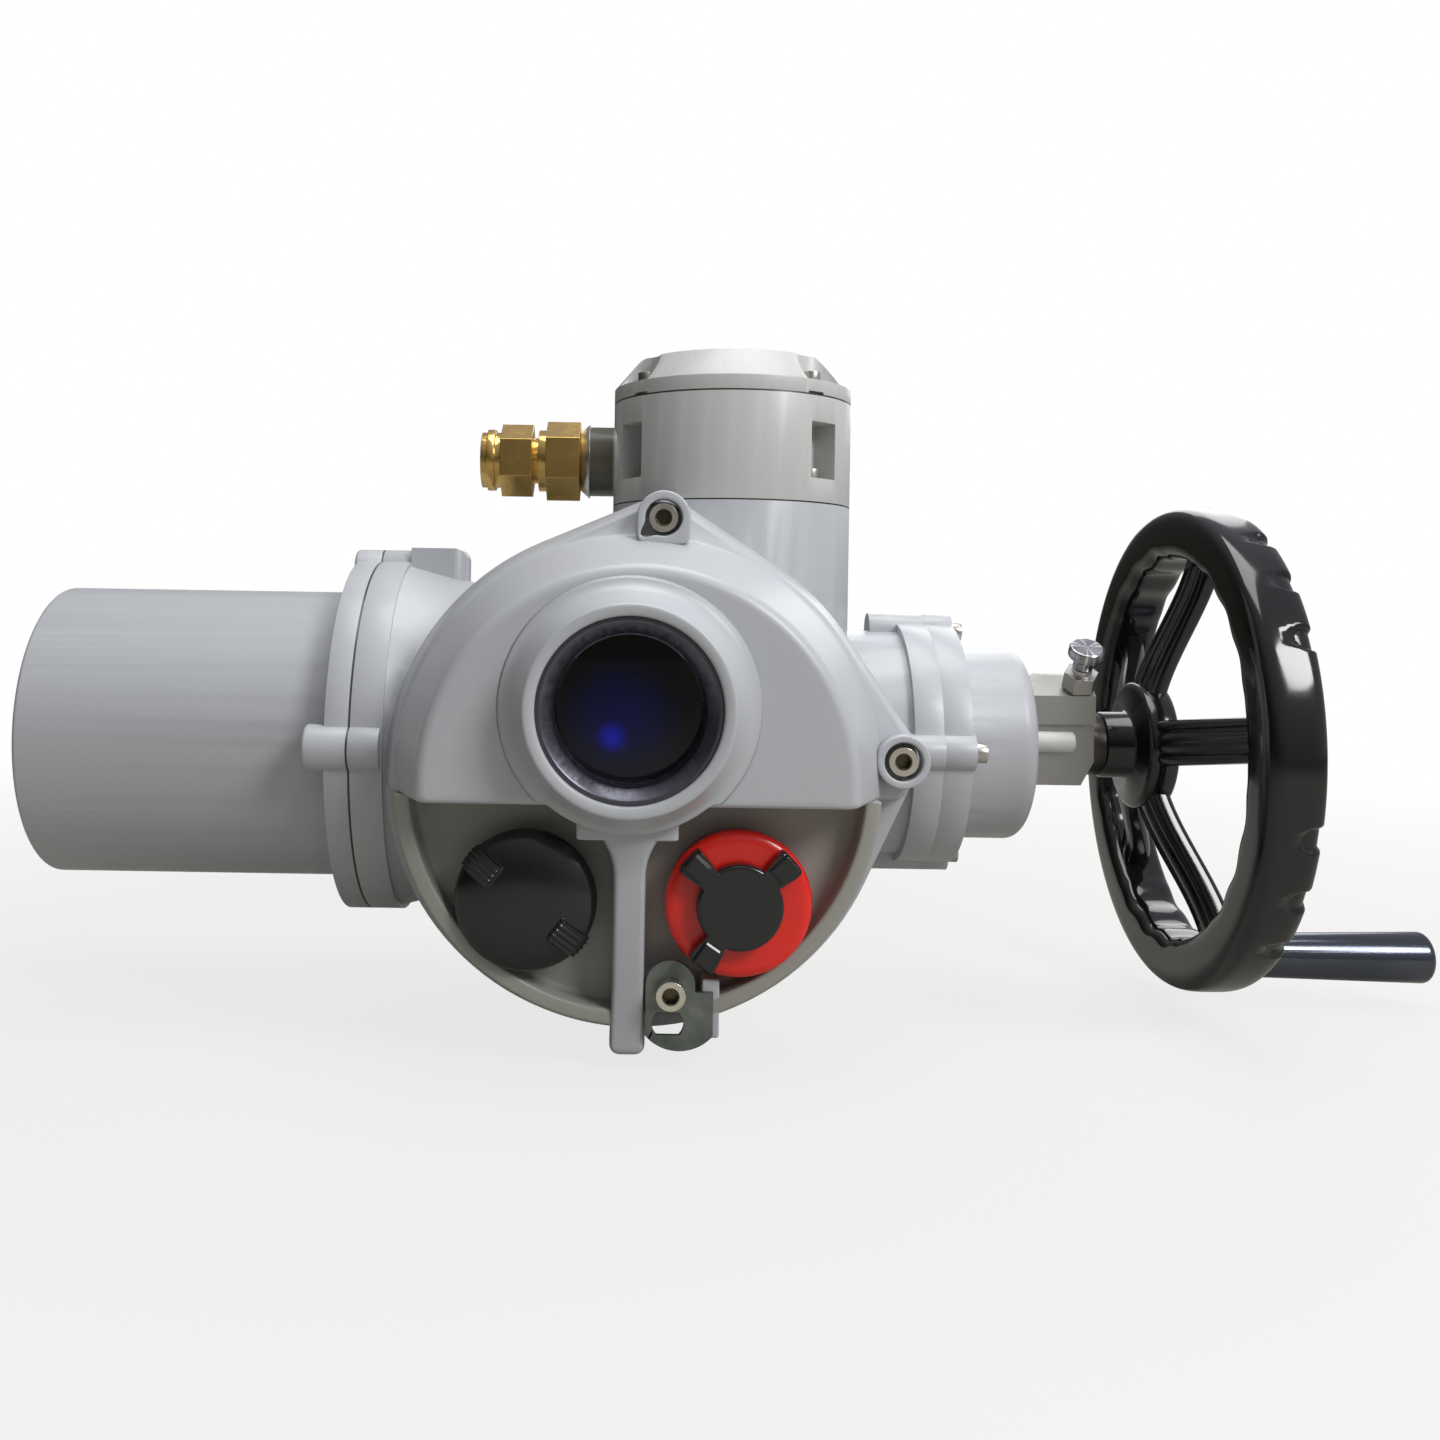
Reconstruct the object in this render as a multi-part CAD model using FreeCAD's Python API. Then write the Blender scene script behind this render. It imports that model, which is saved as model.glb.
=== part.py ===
import FreeCAD, Part
import math
import os

from FreeCAD import Vector as V

# Explosion-proof electric actuator for a valve, in millimetres.
# Frame: origin at the centre of the drive bore on the base face, +Z up along the drive sleeve,
# +X along the worm shaft from the motor to the handwheel, -Y towards the control cover.

# Worm drive
axis_height = 138.0            # worm axis above the base face
gear_module = 2.1
wheel_teeth = 40
worm_pitch_radius = 18.0
wheel_face = 24.0
tooth_play = 0.32              # taken off each flank of both gears, along the pitch line
worm_half_turns = 4            # turns of thread each side of the wheel
worm_core_extra = 0.25         # depth that the thread root lies in its core

# Control cover, measured from its joint to the case
cover_joint = 88.0             # joint plane in front of the worm axis
cover_centre_drop = 10.0       # cover centre below the worm axis
cover_radius = 116.5
cover_lower_radius = 109.0
cover_front_radius = 95.0
cover_depth = 50.0
cover_rim = 7.5
cover_wall = 7.0
cover_lug_radius = 12.0
cover_lugs = ((10.0, 108.0), (119.5, 0.0))   # screw centres, from the worm axis
cover_low_lug = (16.0, -102.0)
cover_lug_seat = 12.0
rib_left = -10.0
rib_right = 4.5
cover_recess_floor = 13.0
cover_lower_depth = 28.0
roof_drop = 8.0                # underside of the raised half below the cover centre
cover_foot_drop = 131.0        # lowest point of the cover below the worm axis
plate_thickness = 3.0
plate_width = 30.0
shackle_left = -8.0            # sides of the padlock hole, from the lowest cover screw
shackle_right = 6.0
shackle_low = -19.0
shackle_high = -9.0
shackle_room = 22.0            # free depth behind the hole for the shackle

# Display window in the cover
window_x = -4.0
window_rise = 24.0             # window centre above the worm axis
boss_base_radius = 55.0
boss_rim_radius = 45.0
boss_height = 20.0
window_ring_radius = 39.5
window_ring_inner = 32.5
glass_radius = 36.0
glass_thickness = 8.0

# Knobs under the roof of the cover
knob_x = 47.0
knob_drop = 62.5               # knob axis below the worm axis
knob_shift = -1.5
black_knob_radius = 29.5
black_knob_height = 25.0
red_knob_radius = 31.5
red_knob_height = 20.0
knob_gap = 0.6
knob_pin_radius = 5.0
knob_clearance = 0.05
arm_disc_radius = 19.0
arm_reach = 33.0
arm_width = 12.0
arm_pad_radius = 7.5

# Main case
case_wall = 8.0
drum_radius = 112.0
drum_depth = 56.0              # control compartment, joint plane to its back wall
gear_tower_radius = 60.0
gear_tower_top = 202.0
wheel_chamber_radius = 49.0

# Motor
motor_radius = 73.5
motor_end = -297.0
motor_seam = -133.0
motor_flange_radius = 90.0
motor_flange_thickness = 12.0
motor_lug_radius = 11.0
motor_lug_length = 21.5
motor_top_lug_length = 15.0
motor_head_depth = 8.0         # pocket that each motor screw's head lies in
motor_head_play = 0.7
motor_bolt_radius = 83.0
motor_low_bolt_radius = 81.0    # the lowest screw, which has no lug
motor_wall = 6.0
stator_length = 92.0
stator_bore = 36.0
air_gap = 0.6

# Cover on the handwheel side
gear_seam = 148.0
gear_flange_radius = 62.0
gear_flange_thickness = 14.0
gear_cover_radius = 49.5
gear_cover_end = 199.0
gear_bolt_radius = 58.0
gear_lug_radius = 9.0
gear_cover_wall = 6.0

# Shaft and bearings
shaft_radius = 10.0
running_clearance = 0.04
bearing_outer = 23.5
bearing_width = 14.0
bearing_offset = 52.0
collar_radius = 16.0
seal_width = 6.0

# Steel shaft block, its white pin and the pull plunger
block_end = 232.5
block_half_width = 24.0
block_lip = 2.0                # the plunger's seat stands out this far over the lower front face
block_low = -19.0
block_top_half = 11.0
block_back_shoulder = 20.0
block_shoulder = 12.0
block_foot_chamfer = (6.5, 12.0)
block_head_chamfer = (12.0, 7.0)
pin_radius = 5.3
pin_rise = 3.0
plunger_x = 225.0
plunger_tilt = 33.5            # lean of the plunger from upright towards the cover side
plunger_seat = 36.5            # from the shaft axis to the sloping seat
plunger_pin_radius = 3.0
plunger_knob_radius = 8.6
plunger_knob_height = 6.0
plunger_hex = 15.0
groove_width = 8.0
pin_tip_gap = 2.0              # from the pin's tip to the shaft
pin_shoulder = 7.0

# Handwheel and its turning handle
wheel_radius = 125.0
rim_inboard = 275.5
rim_width = 28.5
rim_thickness = 27.0
rim_corner = 8.0
hub_start = 242.0
hub_radius = 17.0
hub_disc_radius = 33.0
hub_disc_start = 258.0
hub_end = 274.0
spoke_count = 5
spoke_first_angle = 7.0        # from straight towards the cover side, turning upwards
spoke_width = 24.0
spoke_thickness = 12.0
grips_between_spokes = 3
grip_spacing = 14.7            # degrees
grip_depth = 3.0
grip_radius = 7.0
handle_angle = -95.0           # from straight towards the cover side, turning upwards
handle_circle = 112.0
handle_length = 117.0
handle_root_radius = 11.0
handle_end_radius = 13.5
handle_bore = 6.0
handle_gap = 0.8

# Terminal tower and its cable gland
tower_x = 46.0
tower_y = -80.0
tower_radius = 60.0
tower_wall = 8.0
lid_rim = 7.0
lid_height = 21.0
lid_top_radius = 48.0
lid_pocket_radius = 12.0
lid_pocket_shift = 1.12          # pocket's distance from the middle, against its screw's
tower_bolt_radius = 51.5
tower_bolt_angles = (-59.0, 44.0, 121.0, -132.0)
tower_pocket_half = 9.0
gland_rise = 142.0             # gland axis above the worm axis
gland_above_seam = 23.0        # gland axis above the tower's lower seam
lid_above_gland = 29.0         # lid seam above the gland axis
floor_below_seam = 25.0        # floor of the terminal space below the tower's lower seam
gland_boss_radius = 17.5
gland_boss_end = 72.0
gland_thread_radius = 12.5
gland_hex = 35.0
gland_bore = 8.0

# Base flange and drive sleeve
base_radius = 62.5
base_thickness = 16.0
base_bolt_circle = 102.0
base_bolt_radius = 4.25
base_bolt_depth = 14.0
sleeve_radius = 22.0
sleeve_bore = 14.0
sleeve_bore_length = 60.0
keyway_width = 8.0
keyway_depth = 3.3
sleeve_bearing_outer = 34.0
sleeve_bearing_width = 14.0

# Fasteners
m8_head_radius = 6.5
m8_radius = 4.0
m6_head_radius = 5.0
m6_radius = 3.0
m5_head_radius = 4.25
m5_radius = 2.5
socket_share = 0.46            # socket's flat-to-flat half width over the head radius

# Case casting
case_joint_flange = 14.0
drum_back = 12.0
drum_cone = (62.0, 34.0)        # end radius and length of the drum's back cone
case_foot_height = 20.0
motor_cone = (76.0, 46.0)       # end radius and length of the cone behind the motor flange
gear_neck_start = 60.0
case_gear_flange = 14.0
case_gear_lug = 28.0
tower_root = 190.0
back_lug_length = 29.0
back_lug_half = 12.0
back_lug_low = 60.0             # above the worm axis
back_lug_high = 97.0
back_lug_fillet = 7.0

# Circuit board on its posts
board_half_width = 70.0
board_half_height = 52.0
board_thickness = 1.6
board_post = 18.4
board_post_radius = 4.0
board_post_across = 60.0
board_post_up = 42.0

# Terminal space
housing_floor = 12.0            # thickness under the tower screws' heads
housing_ceiling = 13.0
lid_screw_bite = 12.0
housing_screw_bite = 14.0
tower_pocket_depth = 16.0
tower_pocket_share = 0.9        # pocket's start against the screw circle
tower_inner_step = 9.0
rail_half = 48.0
rail_half_width = 6.0
rail_thickness = 3.0
rail_lift = 1.0
rail_foot_half = 4.0
rail_foot_place = 36.0
terminal_count = 7
terminal_pitch = 9.5
terminal_width = 8.5
terminal_half_depth = 15.0
terminal_start = -33.0
terminal_clearance = 3.0

# Cable gland
washer_thickness = 5.0
gland_thread_length = 18.0
gland_hex_length = 17.0
gland_collar_length = 4.0
gland_waist_length = 14.0
gland_body_length = 24.0        # from the washer to the nut
nut_hex_length = 16.0
nut_end_length = 10.0
nut_ring_length = 4.0
gland_through = 80.0
nut_through = 60.0

# Patterns and smaller sizes
board_parts = ((-40, -20, 34, 28, 14), (20, 18, 40, 30, 9), (28, -30, 24, 20, 12), (-45, 30, 18, 18, 8))
motor_lug_angles = (0.0, 90.0, 180.0)
motor_top_angle = 90.0
spoke_groove_half = 3.0
case_top_lug_length = 30.0
case_flange_thickness = 15.0
motor_low_angle = 270.0
gear_lug_angles = (0.0, 90.0, 180.0, 270.0)
base_screw_angles = (0.0, 90.0, 180.0, 270.0)
base_screw_circle = 56.0
chamber_top = 170.0            # top of the wheel chamber
spigot_top = 96.0              # top of the base flange's spigot in the chamber
spigot_clearance = 0.2
seal_inner = 103.0
seal_section = 4.0
motor_bearing_outer = 20.0
stem_plug_radius = 16.0
shaft_end = 282.0
shaft_seal_radius = 16.0
handwheel_bearing_start = 179.0
collar_start = 209.0
pin_length = 23.0
plunger_stem = 1.0
plunger_nut = 9.0
plunger_neck = 3.0
plunger_neck_radius = 5.0
plunger_rest_gap = 0.4
spring_pocket = 4.0
spring_turns = 3

# Values that follow from the sizes above
worm_y = -(worm_pitch_radius + gear_module * wheel_teeth / 2)
joint_y = worm_y - cover_joint
cover_z = axis_height - cover_centre_drop
window_z = axis_height + window_rise
gland_height = axis_height + gland_rise
tower_seam = gland_height - gland_above_seam
tower_lid_seam = gland_height + lid_above_gland
tower_floor = tower_seam - floor_below_seam
knob_z = axis_height - knob_drop
thread_pitch = math.pi * gear_module
wheel_radius_pitch = gear_module * wheel_teeth / 2
stator_start = motor_end + 32
shaft_start = motor_end + motor_wall + 4
X, Y, Z = V(1, 0, 0), V(0, 1, 0), V(0, 0, 1)
OUT = V(0, -1, 0)


def cyl(radius, length, start, direction=Z):
    return Part.makeCylinder(radius, length, V(*start), direction)


def tube(outer, inner, length, start, direction=Z):
    return cyl(outer, length, start, direction).cut(cyl(inner, length, start, direction))


def cone(r0, r1, length, start, direction=Z):
    return Part.makeCone(r0, r1, length, V(*start), direction)


def box(low, high):
    return Part.makeBox(high[0] - low[0], high[1] - low[1], high[2] - low[2], V(*low))


def prism(points, direction):
    face = Part.Face(Part.makePolygon([V(*p) for p in points] + [V(*points[0])]))
    return face.extrude(direction)


def hexagon(flats, length, start, direction):
    """A six-sided bar, its width across flats given, grown along a direction."""
    reach = flats / math.sqrt(3)
    corners = [math.radians(60 * k) for k in range(6)]
    bar = prism([(reach * math.cos(a), reach * math.sin(a), 0) for a in corners], V(0, 0, length))
    bar.Placement = FreeCAD.Placement(V(*start), FreeCAD.Rotation(Z, direction))
    return bar


def fused(shapes):
    shapes = list(shapes)
    return shapes[0].multiFuse(shapes[1:]).removeSplitter() if len(shapes) > 1 else shapes[0]


def around_x(shape, angle):
    """Turn a shape about the worm axis: 0 faces the cover side and positive angles turn upwards."""
    turned = shape.copy()
    turned.rotate(V(0, worm_y, axis_height), X, -angle)
    return turned


def on_axis(x):
    return (x, worm_y, axis_height)


def ring_point(radius, angle, x):
    """A point beside the worm axis: 0 faces the cover side and positive angles turn upwards."""
    a = math.radians(angle)
    return (x, worm_y - radius * math.cos(a), axis_height + radius * math.sin(a))


def cap_screw(head_radius, radius, seat, direction, length):
    """Socket head cap screw: the head stands off its seat against the driving direction."""
    d = V(direction)
    head = cyl(head_radius, head_radius * 1.2, tuple(V(*seat) - d * head_radius * 1.2), d)
    socket = hexagon(2 * head_radius * socket_share, head_radius * 0.7,
                     tuple(V(*seat) - d * head_radius * 1.2), d)
    return head.cut(socket).fuse(cyl(radius, length, seat, d)).removeSplitter()


def save(name, shape):
    shape.exportStep("parts/" + name + ".step")
    print(name, round(shape.Volume / 1000, 1), "cm3", len(shape.Solids), "solids", shape.isValid())


def hull(centre0, radius0, centre1, radius1, y, depth):
    """Plate between two circles in the XZ plane, its sides tangent to both, grown along +Y."""
    dx, dz = centre1[0] - centre0[0], centre1[1] - centre0[1]
    lean = math.acos((radius0 - radius1) / math.hypot(dx, dz))
    along = math.atan2(dz, dx)
    points = []
    for centre, radius, sides in ((centre0, radius0, (1, -1)), (centre1, radius1, (-1, 1))):
        for side in sides:
            a = along + side * lean
            points.append((centre[0] + radius * math.cos(a), y, centre[1] + radius * math.sin(a)))
    plate = prism(points, V(0, depth, 0))
    return fused([plate, cyl(radius0, depth, (centre0[0], y, centre0[1]), Y),
                  cyl(radius1, depth, (centre1[0], y, centre1[1]), Y)])


def lug_centre(lug):
    return (lug[0], axis_height + lug[1])


def joint_outline(y, depth, radius):
    """The round joint of cover and case with its screw lugs."""
    centre = (0, cover_z)
    shapes = [hull(centre, radius, lug_centre(lug), cover_lug_radius, y, depth) for lug in cover_lugs]
    return fused(shapes)


# Control cover casting
def control_cover():
    upper_low = cover_z - roof_drop
    front_y = joint_y - cover_depth
    wide = 2 * cover_radius
    shell = cone(cover_radius, cover_front_radius, cover_depth, (0, joint_y, cover_z), OUT)
    plate = joint_outline(joint_y - cover_lug_seat, cover_lug_seat, cover_radius)
    upper_half = box((-wide, front_y, upper_low), (wide, joint_y, upper_low + wide))
    upper = fused([shell, plate]).common(upper_half)
    ring_y = joint_y - cover_lower_depth
    lower = cyl(cover_lower_radius, cover_lower_depth, (0, ring_y, cover_z), Y)
    dish_y = ring_y - cover_recess_floor
    dish = cyl(cover_lower_radius - cover_rim, cover_lower_depth, (0, dish_y, cover_z), Y)
    lower = lower.cut(dish)
    lower = lower.common(box((-wide, ring_y, cover_z - wide), (wide, joint_y, upper_low + 1)))
    lug_x, lug_z = cover_low_lug[0], axis_height + cover_low_lug[1]
    low_lug = cyl(cover_lug_radius - 2, cover_lower_depth, (lug_x, ring_y, lug_z), Y)
    foot_z = axis_height - cover_foot_drop
    foot = box((rib_left, ring_y, foot_z), (rib_right, joint_y, foot_z + 24))
    foot = foot.makeFillet(4, [e for e in foot.Edges if abs(e.CenterOfMass.z - foot_z) < 0.1
                               and abs(e.tangentAt(e.FirstParameter).y) > 0.9])
    side_foot = box((30, ring_y, foot_z + 8), (38, joint_y, foot_z + 34))
    rib = prism([(rib_left, joint_y - cover_recess_floor, foot_z + 12), (rib_left, ring_y - 2, foot_z + 12),
                 (rib_left, front_y + 8, upper_low - 22), (rib_left, front_y + 3, upper_low),
                 (rib_left, joint_y - cover_recess_floor, upper_low)], V(rib_right - rib_left, 0, 0))
    step = box((window_x - 22, front_y + 6, upper_low - 15), (window_x + 22, ring_y, upper_low + 1))
    boss = cone(boss_base_radius, boss_rim_radius, boss_height, (window_x, front_y, window_z), OUT)
    boss_root = cyl(boss_base_radius, 18, (window_x, front_y, window_z), Y)
    body = fused([upper, lower, low_lug, foot, side_foot, rib, step, boss, boss_root])
    return body.cut(fused(cover_hollows()))


def cover_hollows():
    """Everything taken out of the cover: its cavity, the window bore, screw pockets and holes."""
    upper_low = cover_z - roof_drop + cover_wall
    front_y = joint_y - cover_depth
    inner_depth = cover_depth - cover_wall
    cavity = cone(cover_radius - cover_wall - 2, cover_front_radius - cover_wall - 2, inner_depth,
                  (0, joint_y, cover_z), OUT)
    cavity = cavity.common(box((-cover_radius, joint_y - inner_depth, upper_low),
                               (cover_radius, joint_y, upper_low + 2 * cover_radius)))
    shallow = cyl(cover_lower_radius - cover_rim, cover_recess_floor - cover_wall,
                  (0, joint_y - cover_recess_floor + cover_wall, cover_z), Y)
    window = [cyl(window_ring_radius, 60, (window_x, front_y - 60 + 8, window_z), Y),
              cyl(glass_radius, glass_thickness, (window_x, front_y + 8, window_z), Y),
              cyl(window_ring_inner - 1, 40, (window_x, front_y + 8, window_z), Y)]
    shapes = [cavity, shallow] + window
    for lug in cover_lugs:
        x, z = lug_centre(lug)
        pocket = cyl(m8_head_radius + 2, cover_depth, (x, joint_y - cover_lug_seat - cover_depth, z), Y)
        shapes += [pocket, cyl(m8_radius, cover_lug_seat + 2, (x, joint_y - cover_lug_seat - 1, z), Y)]
    x, z = lug_centre(cover_low_lug)
    shapes.append(cyl(m8_radius, cover_lower_depth + 2, (x, joint_y - cover_lower_depth - 1, z), Y))
    shapes.append(box((x + shackle_left, joint_y - cover_lower_depth, z + shackle_low),
                      (x + shackle_right, joint_y - cover_lower_depth + shackle_room, z + shackle_high)))
    for side in (-1, 1):
        shapes.append(cyl(knob_pin_radius, cover_recess_floor, (knob_shift + side * knob_x,
                                                                 joint_y - cover_recess_floor, knob_z), Y))
    return shapes


# Main case: control drum, worm tube, gear tower, motor flange and terminal base in one casting
def gear_case():
    neck_end = motor_seam + case_flange_thickness
    joint_back = joint_y + drum_depth + drum_back
    back_radius, back_length = drum_cone
    cone_radius, cone_length = motor_cone
    outer = [joint_outline(joint_y, case_joint_flange, cover_radius),
             cyl(drum_radius, joint_back - joint_y, (0, joint_y, cover_z), Y),
             cone(drum_radius, back_radius, back_length, (0, joint_back, cover_z), Y),
             cyl(gear_tower_radius, gear_tower_top - base_thickness, (0, 0, base_thickness)),
             cyl(base_radius, case_foot_height, (0, 0, base_thickness)),
             cone(cone_radius, motor_flange_radius - 2, cone_length, on_axis(neck_end + cone_length), -X),
             cyl(motor_flange_radius, case_flange_thickness, on_axis(motor_seam), X),
             cyl(gear_bolt_radius, gear_seam - gear_neck_start, on_axis(gear_neck_start), X),
             cyl(gear_flange_radius, case_gear_flange, on_axis(gear_seam - case_gear_flange), X),
             cyl(tower_radius, tower_seam - tower_root, (tower_x, tower_y, tower_root))]
    for angle in motor_lug_angles:
        start = ring_point(motor_bolt_radius + 2, angle, motor_seam)
        length = case_top_lug_length if angle == motor_top_angle else case_flange_thickness - 1
        outer.append(cyl(motor_lug_radius, length, start, X))
    for angle in gear_lug_angles:
        start = ring_point(gear_bolt_radius, angle, gear_seam - case_gear_lug)
        outer.append(cyl(gear_lug_radius, case_gear_lug, start, X))
    lug_end = neck_end + back_lug_length
    back_lug = box((neck_end, worm_y - back_lug_half, axis_height + back_lug_low),
                   (lug_end, worm_y + back_lug_half, axis_height + back_lug_high))
    ends = [e for e in back_lug.Edges if e.CenterOfMass.x > lug_end - 1
            and abs(e.tangentAt(e.FirstParameter).x) < 0.1]
    outer.append(back_lug.makeFillet(back_lug_fillet, ends))
    return fused(outer).cut(fused(case_hollows()))


def case_hollows():
    """Control compartment, worm and wheel chambers, bearing seats and threaded holes."""
    control_back = joint_y + drum_depth - case_wall
    worm_bore = bearing_offset + bearing_width / 2
    shapes = [cyl(drum_radius - case_wall - 3, control_back - joint_y, (0, joint_y, cover_z), Y),
              cyl(wheel_chamber_radius, chamber_top - base_thickness, (0, 0, base_thickness)),
              cyl(sleeve_bearing_outer, sleeve_bearing_width, (0, 0, chamber_top)),
              cyl(sleeve_radius + 1, 6, (0, 0, chamber_top + sleeve_bearing_width)),
              cyl(stem_plug_radius, gear_tower_top, (0, 0, chamber_top)),
              cyl(bearing_outer, 2 * worm_bore, on_axis(-worm_bore), X),
              cyl(shaft_radius + 6, 40, on_axis(-worm_bore - 40), X),
              cyl(shaft_radius + 6, 40, on_axis(worm_bore), X),
              cyl(motor_radius - motor_wall - 6, 56, on_axis(motor_seam), X),
              cyl(gear_cover_radius - gear_cover_wall, gear_seam - 74, on_axis(74), X),
              cyl(tower_radius - tower_wall, 30, (tower_x, tower_y, tower_floor)),
              cyl(9, 26, (tower_x - 14, joint_y + 34, tower_floor - 24))]
    for angle, radius, _ in motor_screw_sizes():
        shapes.append(cyl(m8_radius, 18, ring_point(radius, angle, motor_seam), X))
    for angle in gear_lug_angles:
        shapes.append(cyl(m6_radius, 16, ring_point(gear_bolt_radius, angle, gear_seam - 16), X))
    for lug in cover_lugs + (cover_low_lug,):
        x, z = lug_centre(lug)
        shapes.append(cyl(m8_radius, 15, (x, joint_y, z), Y))
    for place in tower_screw_places(tower_seam - 16):
        shapes.append(cyl(m5_radius, 16, place))
    for angle in base_screw_angles:
        a = math.radians(angle)
        shapes.append(cyl(m6_radius, 16, (base_screw_circle * math.cos(a), base_screw_circle * math.sin(a),
                                          base_thickness)))
    shapes.append(cover_seal())
    return shapes


def tower_screw_places(z):
    places = []
    for angle in tower_bolt_angles:
        a = math.radians(angle)
        across, forward = tower_bolt_radius * math.sin(a), tower_bolt_radius * math.cos(a)
        places.append((tower_x + across, tower_y - forward, z))
    return places


def cover_seal():
    """Cord seal in the case's joint face."""
    return tube(seal_inner + seal_section, seal_inner, seal_section, (0, joint_y, cover_z), Y)


def cover_screws():
    screws = [cap_screw(m8_head_radius, m8_radius, (lug_centre(lug)[0], joint_y - cover_lug_seat,
                        lug_centre(lug)[1]), (0, 1, 0), cover_lug_seat + 14) for lug in cover_lugs]
    x, z = lug_centre(cover_low_lug)
    seat = joint_y - cover_lower_depth - plate_thickness
    screws.append(cap_screw(m8_head_radius, m8_radius, (x, seat, z), (0, 1, 0), joint_y + 14 - seat))
    return Part.makeCompound(screws)


def padlock_plate():
    """Zinc plate under the lowest cover screw, with a D-shaped shackle hole."""
    y = joint_y - cover_lower_depth - plate_thickness
    x, z = lug_centre(cover_low_lug)
    left, low = x - 11, z - 26
    blank = fused([cyl(11, plate_thickness, (x, y, z + 3), Y),
                   box((left, y, low + 8), (x + 11, y + plate_thickness, z + 3)),
                   cyl(20, plate_thickness, (left + 15, y, low + 20), Y).common(
                       box((left, y, low), (left + plate_width, y + plate_thickness, low + 26)))])
    middle = (x + (shackle_left + shackle_right) / 2, y, z + (shackle_low + shackle_high) / 2)
    sides = box((x + shackle_left, y, z + shackle_low),
                (x + shackle_right, y + plate_thickness, z + shackle_high))
    hole = cyl((shackle_right - shackle_left) / 2, plate_thickness, middle, Y).common(sides)
    return blank.cut(fused([hole, cyl(m8_radius, plate_thickness, (x, y, z), Y)]))


# Display window
def window_ring():
    front = joint_y - cover_depth - boss_height + 3
    length = cover_depth + boss_height - 3 - (cover_depth - 8)
    ring = tube(window_ring_radius, window_ring_inner, length, (window_x, front, window_z), Y)
    return ring.cut(cone(window_ring_radius - 2, window_ring_inner, 5, (window_x, front, window_z), Y))


def window_glass():
    start = joint_y - cover_depth + 8
    return cyl(glass_radius, glass_thickness, (window_x, start, window_z), Y)


def display_module():
    start = joint_y - cover_depth + 8 + glass_thickness
    mask = cyl(window_ring_inner - 1, 6, (window_x, start, window_z), Y)
    holder = box((window_x - 30, start + 6, window_z - 22), (window_x + 30, start + 14, window_z + 22))
    return fused([mask, holder])


def control_board():
    """Circuit board in the case, on four posts off the compartment's back wall."""
    back = joint_y + drum_depth - case_wall
    front = back - board_post - board_thickness
    parts = [box((-board_half_width, front, cover_z - board_half_height),
                 (board_half_width, back - board_post, cover_z + board_half_height))]
    for sx in (-1, 1):
        for sz in (-1, 1):
            start = (board_post_across * sx, back - board_post, cover_z + board_post_up * sz)
            parts.append(cyl(board_post_radius, board_post, start, Y))
    for x, z, w, h, d in board_parts:
        parts.append(box((x - w / 2, front - d, cover_z + z - h / 2),
                         (x + w / 2, front, cover_z + z + h / 2)))
    return fused(parts)


# Knobs
def knob_pins():
    pins = []
    for side, height in ((-1, black_knob_height), (1, red_knob_height)):
        pins.append(cyl(knob_pin_radius, cover_wall + height * 0.6,
                        (knob_shift + side * knob_x, joint_y - cover_recess_floor + cover_wall, knob_z), OUT))
    return Part.makeCompound(pins)


def knob_bore(side, height):
    start = joint_y - cover_recess_floor
    return cyl(knob_pin_radius + knob_clearance, height * 0.6 + 0.5,
               (knob_shift + side * knob_x, start, knob_z), OUT)


def black_knob():
    """Domed knob with two raised grip tabs."""
    x, y0 = knob_shift - knob_x, joint_y - cover_recess_floor - knob_gap
    r, h = black_knob_radius, black_knob_height
    profile = [V(0, 0, 0), V(r, 0, 0), V(r, 0, h * 0.3)]
    edge = Part.makePolygon(profile).Edges
    arc = Part.Arc(V(r, 0, h * 0.3), V(r * 0.78, 0, h * 0.78), V(0, 0, h)).toShape()
    outline = Part.Wire(edge + [arc, Part.makeLine(V(0, 0, h), V(0, 0, 0))])
    dome = Part.Face(outline).revolve(V(0, 0, 0), Z, 360)
    tabs = []
    for angle in (140, -40):
        tab = box((r * 0.55, -5, h * 0.2), (r + 1.5, 5, h * 0.66))
        tab = tab.makeFillet(2, [e for e in tab.Edges if e.CenterOfMass.x > r + 1])
        tab.rotate(V(0, 0, 0), Z, angle)
        tabs.append(tab)
    knob = fused([dome] + tabs)
    knob.Placement = FreeCAD.Placement(V(x, y0, knob_z), FreeCAD.Rotation(X, 90))
    return knob.cut(knob_bore(-1, h))


def red_knob():
    """Selector knob with a scalloped edge."""
    x, y0 = knob_shift + knob_x, joint_y - cover_recess_floor - knob_gap
    r, h = red_knob_radius, red_knob_height
    blank = fused([cyl(r, h * 0.7, (0, 0, 0)), cone(r, r - 5, h * 0.3, (0, 0, h * 0.7))])
    for k in range(6):
        a = math.radians(60 * k + 10)
        blank = blank.cut(cyl(14, h, ((r + 11.5) * math.cos(a), (r + 11.5) * math.sin(a), 0)))
    blank.Placement = FreeCAD.Placement(V(x, y0, knob_z), FreeCAD.Rotation(X, 90))
    return blank.cut(knob_bore(1, h))


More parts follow.
